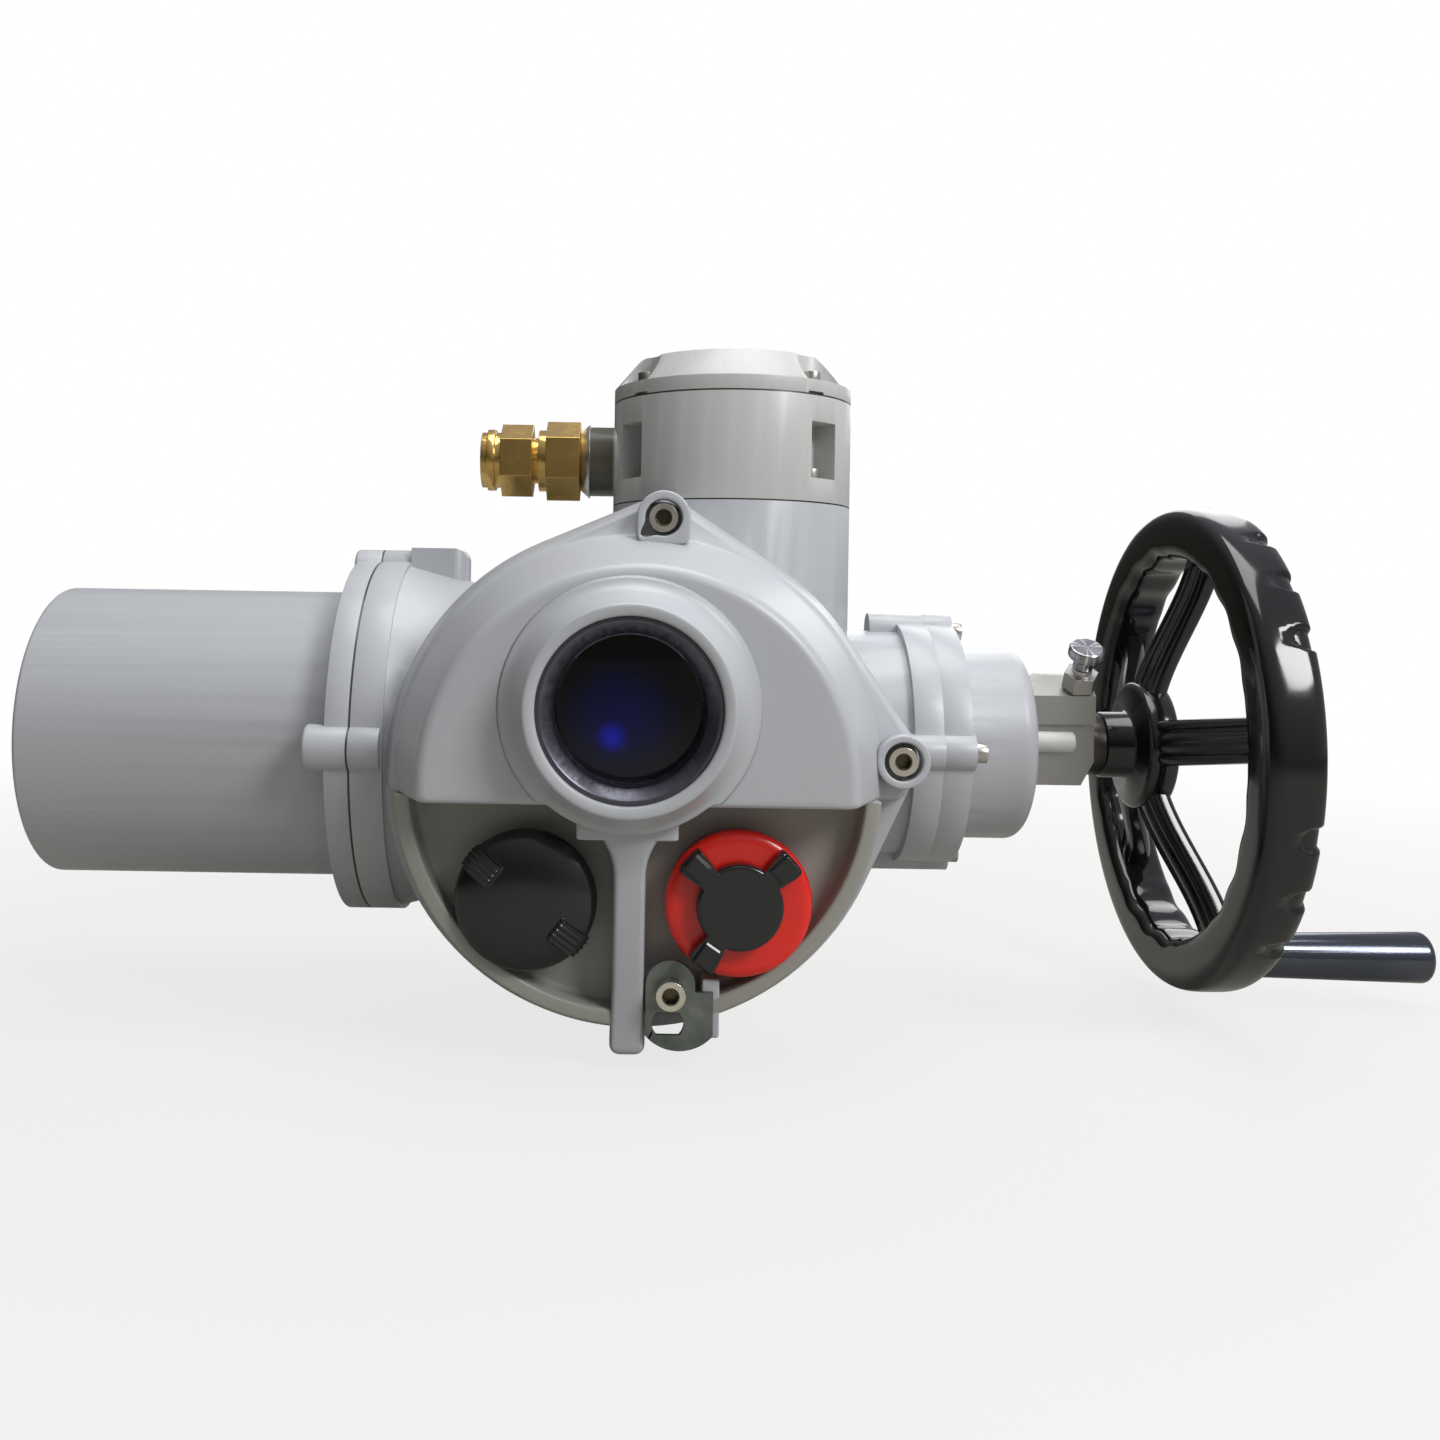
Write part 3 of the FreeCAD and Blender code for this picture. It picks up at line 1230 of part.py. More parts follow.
BUILDERS = {
    "gear_case": gear_case,
    "control_cover": control_cover,
    "cover_seal": cover_seal,
    "cover_screws": cover_screws,
    "padlock_plate": padlock_plate,
    "window_ring": window_ring,
    "window_glass": window_glass,
    "display_module": display_module,
    "control_board": control_board,
    "knob_pins": knob_pins,
    "black_knob": black_knob,
    "red_knob": red_knob,
    "selector_arm": selector_arm,
    "motor_housing": motor_housing,
    "motor_flange_screws": motor_flange_screws,
    "stator": stator,
    "stator_windings": stator_windings,
    "rotor": rotor,
    "worm_shaft": worm_shaft,
    "worm_wheel": worm_wheel,
    "worm_bearing_motor_side": lambda: worm_bearing(-bearing_offset),
    "worm_bearing_wheel_side": lambda: worm_bearing(bearing_offset),
    "handwheel_bearing": lambda: worm_bearing(handwheel_bearing_start + bearing_width / 2),
    "motor_bearing": motor_bearing,
    "worm_seal": worm_seal,
    "drive_sleeve": drive_sleeve,
    "wheel_key": wheel_key,
    "lower_sleeve_bearing": lambda: output_bearing(spigot_top - sleeve_bearing_width),
    "upper_sleeve_bearing": lambda: output_bearing(chamber_top),
    "output_seal": output_seal,
    "base_flange": base_flange,
    "base_screws": base_screws,
    "stem_plug": stem_plug,
    "gear_cover": gear_cover,
    "gear_cover_screws": gear_cover_screws,
    "shaft_seal": shaft_seal,
    "shaft_block": shaft_block,
    "stop_pin": stop_pin,
    "plunger_body": plunger_body,
    "plunger_pin": plunger_pin,
    "plunger_spring": plunger_spring,
    "plunger_knob": plunger_knob,
    "shift_collar": shift_collar,
    "collar_stop": collar_stop,
    "handwheel": handwheel,
    "hub_nut": hub_nut,
    "handle_spindle": handle_spindle,
    "handle_grip": handle_grip,
    "terminal_housing": terminal_housing,
    "terminal_housing_screws": terminal_housing_screws,
    "terminal_cover": terminal_cover,
    "terminal_cover_screws": terminal_cover_screws,
    "terminal_block": terminal_block,
    "gland_washer": gland_washer,
    "gland_body": gland_body,
    "gland_nut": gland_nut,
    "gland_seal": gland_seal,
    "entry_plug": entry_plug,
}

os.makedirs("parts", exist_ok=True)
for node, builder in BUILDERS.items():
    save(node, builder())
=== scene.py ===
import math

import bmesh
import bpy
import numpy as np
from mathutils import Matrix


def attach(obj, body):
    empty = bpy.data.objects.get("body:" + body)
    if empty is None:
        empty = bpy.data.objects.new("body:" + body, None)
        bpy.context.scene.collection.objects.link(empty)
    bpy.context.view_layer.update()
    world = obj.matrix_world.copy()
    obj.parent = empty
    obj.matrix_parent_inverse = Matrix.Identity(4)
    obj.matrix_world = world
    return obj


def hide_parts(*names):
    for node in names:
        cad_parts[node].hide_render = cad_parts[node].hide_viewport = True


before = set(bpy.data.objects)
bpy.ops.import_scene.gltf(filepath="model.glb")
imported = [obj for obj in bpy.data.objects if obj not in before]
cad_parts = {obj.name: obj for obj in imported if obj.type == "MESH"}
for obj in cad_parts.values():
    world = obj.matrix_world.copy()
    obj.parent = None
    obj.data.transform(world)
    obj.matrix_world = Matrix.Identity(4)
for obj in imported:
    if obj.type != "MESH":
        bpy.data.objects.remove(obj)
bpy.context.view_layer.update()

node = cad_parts
scene = bpy.context.scene
scene.view_settings.view_transform = "Standard"

# Camera level with the top of the window, about 0.74 m in front of the shaft. The frame is shifted down
# and to the right of the optical axis, and tips by just under a degree.
camera_data = bpy.data.cameras.new("camera")
camera_data.lens = 35.0
camera_data.sensor_width = 36.0
camera_data.shift_x = 0.0618
camera_data.shift_y = -0.0729
camera = bpy.data.objects.new("camera", camera_data)
camera.location = (-0.004, -0.796, 0.202)
camera.rotation_euler = (math.radians(90), math.radians(-0.93), 0)
scene.collection.objects.link(camera)
scene.camera = camera


# Pale floor just under the base face: a matte sheet that glows to the camera, so it stays near white and
# still takes a soft shadow. The glow is weaker near the part, where the shadow falls.
def own_place(tree):
    """The object's own coordinates in metres, as a node output."""
    return tree.nodes.new("ShaderNodeTexCoord").outputs["Object"]


def number_step(tree, operation, *values):
    """Math node over other nodes' outputs and plain numbers."""
    step = tree.nodes.new("ShaderNodeMath")
    step.operation = operation
    for socket, value in zip(step.inputs, values):
        if isinstance(value, float):
            socket.default_value = value
        else:
            tree.links.new(value, socket)
    return step.outputs[0]


def vector_step(tree, operation, vector, constant=(0, 0, 0)):
    """Vector node over an output and a constant. Length, distance and dot product give a number."""
    step = tree.nodes.new("ShaderNodeVectorMath")
    step.operation = operation
    step.inputs[1].default_value = constant
    tree.links.new(vector, step.inputs[0])
    return step.outputs["Value" if operation in ("LENGTH", "DISTANCE", "DOT_PRODUCT") else "Vector"]


def ramp(tree, value, start, end, low=0.0, high=1.0, curve="LINEAR"):
    """Map Range node: low at start, high at end and held outside them."""
    step = tree.nodes.new("ShaderNodeMapRange")
    step.interpolation_type = curve
    for label, number in (("From Min", start), ("From Max", end), ("To Min", low), ("To Max", high)):
        step.inputs[label].default_value = number
    tree.links.new(value, step.inputs["Value"])
    return step.outputs[0]


floor_half, floor_drop = 6.0, 0.0006
corners = [(x * floor_half, y * floor_half, -floor_drop) for x, y in ((-1, -1), (1, -1), (1, 1), (-1, 1))]
floor_mesh = bpy.data.meshes.new("floor")
floor_mesh.from_pydata(corners, [], [(0, 1, 2, 3)])
floor = bpy.data.objects.new("floor", floor_mesh)
scene.collection.objects.link(floor)
floor_paint = bpy.data.materials.new("floor_paint")
floor_paint.use_nodes = True
tree = floor_paint.node_tree
matte = tree.nodes["Principled BSDF"]
matte.inputs["Base Color"].default_value = (0.38, 0.365, 0.325, 1)
matte.inputs["Roughness"].default_value = 0.85
glow = tree.nodes.new("ShaderNodeEmission")
seen = tree.nodes.new("ShaderNodeLightPath").outputs["Is Camera Ray"]
shadow_reach, clear_reach, glow_in_shadow = 0.35, 1.3, 0.78
from_part = vector_step(tree, "LENGTH", own_place(tree))
fade = ramp(tree, from_part, shadow_reach, clear_reach, glow_in_shadow, 1.0)
blend = tree.nodes.new("ShaderNodeMixShader")
tree.links.new(number_step(tree, "MULTIPLY", seen, fade), blend.inputs["Fac"])
tree.links.new(matte.outputs[0], blend.inputs[1])
tree.links.new(glow.outputs[0], blend.inputs[2])
tree.links.new(blend.outputs[0], tree.nodes["Material Output"].inputs["Surface"])
floor_mesh.materials.append(floor_paint)


# White surround to the eye and through glass. On the object it is a soft fill, full from the upper right
# and dimmer and warmer from the lower left, as in a room with one bright side.
def mix_colour(tree, factor, first, second):
    """Colour mix driven by a node output; each colour is a constant or another node's output."""
    mix = tree.nodes.new("ShaderNodeMix")
    mix.data_type = "RGBA"
    tree.links.new(factor, mix.inputs["Factor"])
    for socket, colour in ((mix.inputs[6], first), (mix.inputs[7], second)):
        if isinstance(colour, tuple):
            socket.default_value = (*colour, 1)
        else:
            tree.links.new(colour, socket)
    return mix.outputs[2]


world = bpy.data.worlds.new("studio")
scene.world = world
world.use_nodes = True
tree = world.node_tree
rays = tree.nodes.new("ShaderNodeLightPath")
seen = number_step(tree, "MAXIMUM", rays.outputs["Is Camera Ray"], rays.outputs["Is Transmission Ray"])
toward = tree.nodes.new("ShaderNodeTexCoord").outputs["Generated"]
slant = vector_step(tree, "DOT_PRODUCT", toward, (0.50, 0.0, 0.86))
lower_left, upper_right = (0.036, 0.031, 0.018), (0.45, 0.462, 0.495)
fill = mix_colour(tree, ramp(tree, slant, -0.30, 0.75, curve="SMOOTHSTEP"), lower_left, upper_right)
tree.links.new(mix_colour(tree, seen, fill, (1, 1, 1)), tree.nodes["Background"].inputs["Color"])


# Soft lamps: one large panel above, a key from the upper right and a wide one behind. Each is a square
# panel that lays a broad highlight on the enamel and the turned steel.
def soft_lamp(name, place, aim, size, watts):
    """Square panel lamp of a side and power, turned from its place to its aim."""
    data = bpy.data.lights.new(name, "AREA")
    data.shape = "SQUARE"
    data.size = size
    data.energy = watts
    lamp = bpy.data.objects.new(name, data)
    scene.collection.objects.link(lamp)
    lamp.location = place
    way = np.subtract(aim, place)
    flat = math.hypot(way[0], way[1])
    lamp.rotation_euler = (math.atan2(flat, -way[2]), 0, math.atan2(way[0], -way[1]) + math.pi)


soft_lamp("top_panel", (0.15, -0.15, 1.5), (0.05, -0.06, 0.15), 0.9, 11.5)
soft_lamp("key_panel", (1.1, -1.2, 1.2), (0.05, -0.1, 0.15), 0.6, 18)
soft_lamp("back_panel", (0.6, 1.3, 1.0), (0, 0, 0.15), 1.0, 7)


# Castings: main case, gear cover and base flange. Sand-cast aluminium with machined joints, sprayed in
# light grey satin enamel. The motor housing, the tower and the control cover below are made alike.
def grain_group():
    """Two noises over the part's own metres: a fine one for the skin's height, a wide one for its tone."""
    group = bpy.data.node_groups.new("surface_grain", "ShaderNodeTree")
    for label in ("Fine Scale", "Wide Scale"):
        group.interface.new_socket(label, in_out="INPUT", socket_type="NodeSocketFloat")
    for label in ("Height", "Tone"):
        group.interface.new_socket(label, in_out="OUTPUT", socket_type="NodeSocketFloat")
    put, join = group.nodes.new, group.links.new
    start, end = put("NodeGroupInput"), put("NodeGroupOutput")
    place = own_place(group)
    for size, result, detail in (("Fine Scale", "Height", 4.0), ("Wide Scale", "Tone", 3.0)):
        noise = put("ShaderNodeTexNoise")
        noise.inputs["Detail"].default_value = detail
        join(place, noise.inputs["Vector"])
        join(start.outputs[size], noise.inputs["Scale"])
        join(noise.outputs["Fac"], end.inputs[result])
    return group


surface_grain = grain_group()


def add_grain(tree, fine, wide):
    """The grain group as a node of a material; its outputs are Height and Tone."""
    grain = tree.nodes.new("ShaderNodeGroup")
    grain.node_tree = surface_grain
    grain.inputs["Fine Scale"].default_value = fine
    grain.inputs["Wide Scale"].default_value = wide
    return grain.outputs


def finish(name, colour, shade, rough, metallic=0.0, fine=900.0, wide=25.0, depth=0.0002, strength=0.25,
           coat=0.0):
    """Principled surface: colour drifts to shade, and roughness between two values, over the wide noise."""
    surface = bpy.data.materials.new(name)
    surface.use_nodes = True
    tree = surface.node_tree
    shader = tree.nodes["Principled BSDF"]
    shader.inputs["Metallic"].default_value = metallic
    shader.inputs["Coat Weight"].default_value = coat
    shader.inputs["Coat Roughness"].default_value = 0.08
    grain = add_grain(tree, fine, wide)
    tree.links.new(mix_colour(tree, grain["Tone"], colour, shade), shader.inputs["Base Color"])
    tree.links.new(ramp(tree, grain["Tone"], 0.3, 0.7, *rough), shader.inputs["Roughness"])
    bump = tree.nodes.new("ShaderNodeBump")
    bump.inputs["Strength"].default_value = strength
    bump.inputs["Distance"].default_value = depth
    tree.links.new(grain["Height"], bump.inputs["Height"])
    tree.links.new(bump.outputs[0], shader.inputs["Normal"])
    return surface


def grey_coat(name, colour=(0.505, 0.517, 0.54), shade=(0.445, 0.457, 0.48)):
    """The castings' enamel. Further coats of it carry joint lines, painted light (a lighter tone) and painted
    shade (a darker tone).
    """
    return finish(name, colour, shade, (0.30, 0.40), fine=700, wide=9, depth=0.00025, strength=0.22)


def recolour(surface, mask, colour):
    """Mixes a colour into a finish where the mask, a node output, is 1."""
    paint = surface.node_tree.nodes["Principled BSDF"].inputs["Base Color"]
    mixed = mix_colour(surface.node_tree, mask, paint.links[0].from_socket, colour)
    surface.node_tree.links.new(mixed, paint)


def coordinate(surface, axis):
    """The part's own X, Y or Z in metres, as a node output."""
    apart = surface.node_tree.nodes.new("ShaderNodeSeparateXYZ")
    surface.node_tree.links.new(own_place(surface.node_tree), apart.inputs[0])
    return apart.outputs[axis]


def band(surface, axis, middle, half):
    """Mask that is 1 where |coordinate - middle| <= half."""
    return number_step(surface.node_tree, "COMPARE", coordinate(surface, axis), middle, half)


def dress(surface, *names, edge=0.0):
    """Gives CAD nodes their finish; edge is the width to which their sharp edges are rounded, in metres."""
    for name in names:
        part = node[name]
        part.data.materials.clear()
        part.data.materials.append(surface)
        if not edge:
            continue
        weld = part.modifiers.new("weld", "WELD")
        weld.merge_threshold = 0.00001
        flat = part.modifiers.new("flat", "DECIMATE")
        flat.decimate_type = "DISSOLVE"
        flat.angle_limit = math.radians(0.5)
        round_off = part.modifiers.new("round_off", "BEVEL")
        round_off.limit_method = "ANGLE"
        round_off.angle_limit = math.radians(32)
        round_off.width = edge
        round_off.segments = 3
        round_off.harden_normals = True


casting_edge = 0.0012
joint_shadow = (0.035, 0.033, 0.028)
enamel = grey_coat("grey_enamel")
dress(enamel, "gear_case", "gear_cover", "base_flange", edge=casting_edge)

# Motor housing: an aluminium casting in the same enamel, screwed to the case by its flange. The dark
# line is the joint between the two.
motor_joint_x, motor_joint_half = -0.1335, 0.0005
motor_coat = grey_coat("motor_enamel")
recolour(motor_coat, band(motor_coat, "X", motor_joint_x, motor_joint_half), joint_shadow)
dress(motor_coat, "motor_housing", edge=casting_edge)

# Terminal tower and its lid: enamelled castings with dark joint lines. Their coat is a lighter copy of the
# castings' enamel: painted light. The boss that the gland screws into, to the left of the tower's wall, is
# painted dark: painted shade.
# Painted light: the tower's enamel is lighter than the castings' own coat.
tower_coat = grey_coat("tower_enamel", (0.57, 0.57, 0.56), (0.51, 0.51, 0.50))
# Painted shade: a dark olive mixed in past the tower's wall, over the gland boss.
wall_x, boss_x = -0.0130, -0.0145
gland_boss_shade = ramp(tower_coat.node_tree, coordinate(tower_coat, "X"), wall_x, boss_x)
recolour(tower_coat, gland_boss_shade, (0.085, 0.078, 0.055))
tower_joints, tower_joint_half = (0.2573, 0.3088), 0.0004
for joint_z in tower_joints:
    recolour(tower_coat, band(tower_coat, "Z", joint_z, tower_joint_half), joint_shadow)
dress(tower_coat, "terminal_housing", "terminal_cover", edge=casting_edge)

# Screws, hub nut and plugs: turned steel, plated and slightly yellow. They hold the castings together
# and close the spare openings.
screw_plate = finish("screw_plating", (0.60, 0.58, 0.53), (0.47, 0.455, 0.42), (0.24, 0.40), metallic=1.0,
                     fine=1500, wide=120, strength=0.12)
dress(screw_plate, "motor_flange_screws", "base_screws", "gear_cover_screws", "terminal_housing_screws",
      "terminal_cover_screws", "hub_nut", "entry_plug", "stem_plug", edge=0.0003)

# Shafts, bearings, plunger and spring: bare steel, turned and ground where the pieces run. The spring is
# coiled from drawn wire.
bare_steel = finish("machined_steel", (0.60, 0.59, 0.57), (0.50, 0.49, 0.47), (0.26, 0.42), metallic=1.0,
                    fine=1300, wide=60, strength=0.15)
dress(bare_steel, "worm_shaft", "plunger_body", "plunger_pin", "knob_pins", "handle_spindle",
      "gland_washer", edge=0.0004)
dress(bare_steel, "plunger_spring", "drive_sleeve", "wheel_key", "worm_bearing_motor_side",
      "worm_bearing_wheel_side", "handwheel_bearing", "motor_bearing", "lower_sleeve_bearing",
      "upper_sleeve_bearing")

# Faceted block round the shaft: one piece of milled steel, duller than the turned parts. It carries the
# plunger.
milled_steel = finish("milled_block", (0.46, 0.45, 0.42), (0.36, 0.355, 0.33), (0.34, 0.50), metallic=0.85,
                      fine=1100, wide=45, strength=0.15)
dress(milled_steel, "shaft_block", edge=0.0006)

# Collar rings beside and inside the block: turned steel, coloured dark. They turn with the shaft, and the
# plunger's pin drops into the groove between them.
dark_steel = finish("dark_collar", (0.13, 0.12, 0.11), (0.08, 0.075, 0.07), (0.26, 0.42), metallic=0.9,
                    fine=1300, wide=60, strength=0.15)
dress(dark_steel, "shift_collar", "collar_stop", edge=0.0004)

# Plunger knob: turned steel, faced off on the lathe. The rays of light about its axis are a painted sheen:
# a pale colour mixed in by a noise over the bearing, atan2(up, right), in the plane square to the plunger.
turned_face = finish("turned_face", (0.34, 0.34, 0.36), (0.27, 0.27, 0.29), (0.22, 0.36), metallic=1.0,
                     fine=1500, wide=90, strength=0.12)
tree = turned_face.node_tree
plunger_foot, knob_lean = (0.225, -0.060, 0.138), math.radians(33.5)
from_axis = vector_step(tree, "SUBTRACT", own_place(tree), plunger_foot)
right = vector_step(tree, "DOT_PRODUCT", from_axis, (1, 0, 0))
up = vector_step(tree, "DOT_PRODUCT", from_axis, (0, math.cos(knob_lean), math.sin(knob_lean)))
rays = tree.nodes.new("ShaderNodeTexNoise")
rays.noise_dimensions = "1D"
rays.inputs["Scale"].default_value = 2.6
rays.inputs["Detail"].default_value = 4.0
tree.links.new(number_step(tree, "ARCTAN2", up, right), rays.inputs["W"])
# Painted sheen: a pale colour where the noise over the bearing is high.
recolour(turned_face, ramp(tree, rays.outputs["Fac"], 0.48, 0.64), (0.80, 0.80, 0.83))
dress(turned_face, "plunger_knob", edge=0.0004)

# Padlock plate: pressed steel, dull zinc with a green-grey passivation. It sits under the lowest cover
# screw, and its hole takes the shackle of a padlock.
zinc = finish("zinc_plate", (0.36, 0.39, 0.36), (0.055, 0.070, 0.060), (0.30, 0.50), metallic=0.85,
              fine=900, wide=95)
dress(zinc, "padlock_plate", edge=0.0004)

# Drive inside the castings: the worm wheel is cut from cast bronze, the motor's core is stacked from
# sheet steel, and its windings are varnished copper wire.
bronze = finish("cut_bronze", (0.60, 0.40, 0.18), (0.50, 0.32, 0.13), (0.28, 0.42), metallic=1.0,
                fine=1200, wide=70)
dress(bronze, "worm_wheel")
core = finish("core_sheet", (0.16, 0.16, 0.18), (0.11, 0.11, 0.12), (0.42, 0.58), metallic=0.8,
              fine=1600, wide=50)
dress(core, "stator", "rotor")
copper = finish("varnished_copper", (0.45, 0.16, 0.06), (0.34, 0.11, 0.04), (0.22, 0.36), metallic=0.6,
                coat=0.5)
dress(copper, "stator_windings")

# Window ring: turned aluminium, anodised dark grey, with a wide bevel round the glass. It holds the glass
# in the cover's boss.
ring_metal = finish("window_ring_metal", (0.155, 0.155, 0.185), (0.095, 0.095, 0.115), (0.24, 0.38),
                    metallic=0.9, fine=1800, wide=50)
dress(ring_metal, "window_ring", edge=0.0005)

# Handwheel: one casting in gloss black enamel. A rounded rim with three thumb recesses between each
# pair of spokes and a wavy inner face for the fingers, five dished spokes with two grooves, and a
# stepped hub that a nut holds on the shaft.
black_enamel = finish("black_enamel", (0.0045, 0.0045, 0.0055), (0.007, 0.007, 0.008), (0.09, 0.17), fine=400,
                      wide=20, depth=0.0001, strength=0.10, coat=0.15)


def add_piece(name, grid, body, surface, material_slot, replaced, close_u=True, cap_u=False):
    """Quads over an array of points (u, v, 3), closed round v, faces outward, riding on a body.
    close_u joins the last row to the first; cap_u shuts each end with one face."""
    rows, columns = grid.shape[:2]
    index = np.arange(rows * columns).reshape(rows, columns)
    if close_u:
        index = np.vstack([index, index[:1]])
    index = np.hstack([index, index[:, :1]])
    quads = np.stack([index[:-1, :-1], index[:-1, 1:], index[1:, 1:], index[1:, :-1]], axis=-1)
    faces = quads.reshape(-1, 4).tolist()
    if cap_u:
        faces += [index[0, :columns][::-1].tolist(), index[-1, :columns].tolist()]
    mesh = bpy.data.meshes.new(name)
    mesh.from_pydata(grid.reshape(-1, 3).tolist(), [], faces)
    mesh.polygons.foreach_set("use_smooth", np.ones(len(mesh.polygons), dtype=bool))
    work = bmesh.new()
    work.from_mesh(mesh)
    bmesh.ops.remove_doubles(work, verts=work.verts, dist=0.000001)
    bmesh.ops.recalc_face_normals(work, faces=work.faces)
    work.to_mesh(mesh)
    work.free()
    mesh.materials.append(surface)
    piece = bpy.data.objects.new(name, mesh)
    scene.collection.objects.link(piece)
    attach(piece, body)
    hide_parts(replaced)


def wheel_piece(name, grid, **ends):
    """Part of the handwheel, which turns with the worm shaft."""
    add_piece(name, grid, "worm_drive", black_enamel, "black_gloss", "handwheel", **ends)


def full_turn(count):
    """Angles of one full turn, as a row."""
    return np.linspace(0, 2 * math.pi, count, endpoint=False)[None, :]


def squared(wave, power):
    """sign(w) |w|^(2 / power): a circle's coordinate pulled out towards a rounded square."""
    return np.sign(wave) * np.abs(wave) ** (2 / power)


def smooth(edge_low, edge_high, value):
    """3 t^2 - 2 t^3, with t running from 0 to 1 between the two edges."""
    t = np.clip((value - edge_low) / (edge_high - edge_low), 0, 1)
    return t * t * (3 - 2 * t)


shaft_y, shaft_z = -0.060, 0.138
wheel_outer = 0.125
rim_x, rim_wide, rim_thick = 0.28975, 0.0285, 0.027
spoke_first = math.radians(7)
spoke_step = math.radians(72)
grip_step = math.radians(14.7)
recess_half, recess_edge, recess_side = 0.0048, 0.0066, 0.0085
recess_depth, wave_height = 0.0022, 0.0016


def about_shaft(x, radius, angle):
    """Point at a radius and angle round the shaft, the angle counted from the cover side, turning upwards."""
    x, radius, angle = np.broadcast_arrays(x, radius, angle)
    return np.stack([x, shaft_y - radius * np.cos(angle), shaft_z + radius * np.sin(angle)], axis=-1)


# Rim: a superellipse carried round the shaft. Recesses press in the outer edge on the outboard side,
# and a cosine wave runs along the inner face between the spokes.
turn, section = full_turn(840).T, full_turn(100)
across = squared(np.cos(section), 4.2) * rim_wide / 2
out = squared(np.sin(section), 4.2) * rim_thick / 2
from_middle = (turn - spoke_first) % spoke_step - spoke_step / 2
nearest = np.clip(np.round(from_middle / grip_step), -1, 1)
along = (from_middle - nearest * grip_step) * wheel_outer
from_recess = np.hypot(along, np.minimum(across - recess_side, 0))
press = 1 - smooth(recess_half, recess_edge, from_recess)
press = press * smooth(0, 0.006, out)
between = 1 - smooth(0.36, 0.50, np.abs(from_middle))
wave = wave_height * (0.5 + 0.5 * np.cos(2 * math.pi * from_middle / grip_step))
wave = wave * between * smooth(0.002, 0.010, -out)
radius = wheel_outer - rim_thick / 2 + out - recess_depth * press + wave
wheel_piece("handwheel_rim", about_shaft(rim_x + across - 0.0008 * press, radius, turn))

# Spokes: a flat oval with two grooves down each broad face, carried from the hub out to the rim. The
# path leans outboard as a smooth S, and the oval narrows a little towards the rim.
spoke_wide, spoke_thick = 0.0235, 0.0125
web_x, spoke_root = 0.266, 0.018
groove_place, groove_half, groove_depth = 0.0052, 0.0016, 0.0022
step = np.linspace(0, 1, 40)[:, None]
section = full_turn(96)
wide = squared(np.cos(section), 4.5) * spoke_wide / 2 * (1 - 0.10 * step)
thick = squared(np.sin(section), 3.0) * spoke_thick / 2
inside = smooth(0.08, 0.22, step) * (1 - smooth(0.84, 0.96, step))
groove = np.exp(-((np.abs(wide) - groove_place) / groove_half) ** 4) * groove_depth * inside
thick = thick - np.sign(thick) * groove * smooth(0.001, 0.004, np.abs(thick))
lean = web_x + (rim_x - web_x) * smooth(0.0, 1.0, step)
reach = spoke_root + (wheel_outer - rim_thick + 0.008 - spoke_root) * step
for number in range(5):
    angle = spoke_first + number * spoke_step
    y = shaft_y - reach * math.cos(angle) + wide * math.sin(angle)
    z = shaft_z + reach * math.sin(angle) + wide * math.cos(angle)
    grid = np.stack([lean + thick, y, z], axis=-1)
    wheel_piece(f"handwheel_spoke_{number + 1}", grid, close_u=False, cap_u=True)

# Hub: a profile of (x, radius) turned about the shaft, stepped from the collar seat out to the web.
profile = np.array([(0.2420, 0.0102), (0.2420, 0.0160), (0.2430, 0.0170), (0.2555, 0.0172), (0.2570, 0.0185),
                    (0.2582, 0.0300), (0.2590, 0.0322), (0.2606, 0.0330), (0.2715, 0.0328), (0.2732, 0.0318),
                    (0.2740, 0.0295), (0.2740, 0.0102)])
wheel_piece("handwheel_hub", about_shaft(profile[:, :1], profile[:, 1:], full_turn(180)))

# Control cover, one sand casting in grey enamel held by three screws. First its upper half: a cone cut
# flat in front and along the roof over the knobs, with two screw lugs drawn out of its joint edge.
cover_z, joint_y, face_y, roof_z = 0.128, -0.148, -0.198, 0.120
window_x, window_z = -0.004, 0.162
cover_wide, lug_radius, lug_seat = 0.1165, 0.0120, -0.1600
top_lug, side_lug, low_lug = (0.0100, 0.2460), (0.1195, 0.1380), (0.0160, 0.0360)
cone_rise = 0.43
cone_slope = math.atan(cone_rise)


def cover_piece(name, grid, surface=enamel, **ends):
    """Part of the control cover, which is fixed to the case."""
    add_piece(name, grid, "case", surface, "grey_paint", "control_cover", **ends)


def circle_reach(x, z, radius, turn):
    """Distance t along the rays u(turn) from the window's axis w to a circle about c: the far root of
    |w + t u - c| = radius."""
    apart_x, apart_z = window_x - x, window_z - z
    along = apart_x * np.cos(turn) + apart_z * np.sin(turn)
    inside = along ** 2 - apart_x ** 2 - apart_z ** 2 + radius ** 2
    return -along + np.sqrt(np.clip(inside, 0, None))


def lug_reach(lug, turn):
    """The same distance to a lug: its end circle and the two tangents it shares with the cover's circle."""
    span, way = math.hypot(lug[0], lug[1] - cover_z), math.atan2(lug[1] - cover_z, lug[0])
    lean = math.acos((cover_wide - lug_radius) / span)
    bend = way + np.linspace(-lean, lean, 60)
    edge = np.stack([lug[0] + lug_radius * np.cos(bend), lug[1] + lug_radius * np.sin(bend)], axis=-1)
    first, last = [cover_wide * np.array([math.cos(touch), math.sin(touch)]) + (0, cover_z)
                   for touch in (way - lean, way + lean)]
    run = np.linspace(0, 1, 30)[:-1, None]
    edge = np.vstack([first + (edge[0] - first) * run, edge, last + (edge[-1] - last) * run[::-1]])
    bearing = np.arctan2(edge[:, 1] - window_z, edge[:, 0] - window_x)
    distance = np.hypot(edge[:, 0] - window_x, edge[:, 1] - window_z)
    return np.interp(turn, bearing, distance, left=0, right=0)


def soft_least(a, b, blend):
    """The lesser of two values, their crossing rounded over the width blend."""
    near = np.clip(blend - np.abs(a - b), 0, None) / blend
    return np.minimum(a, b) - near ** 2 * blend / 4


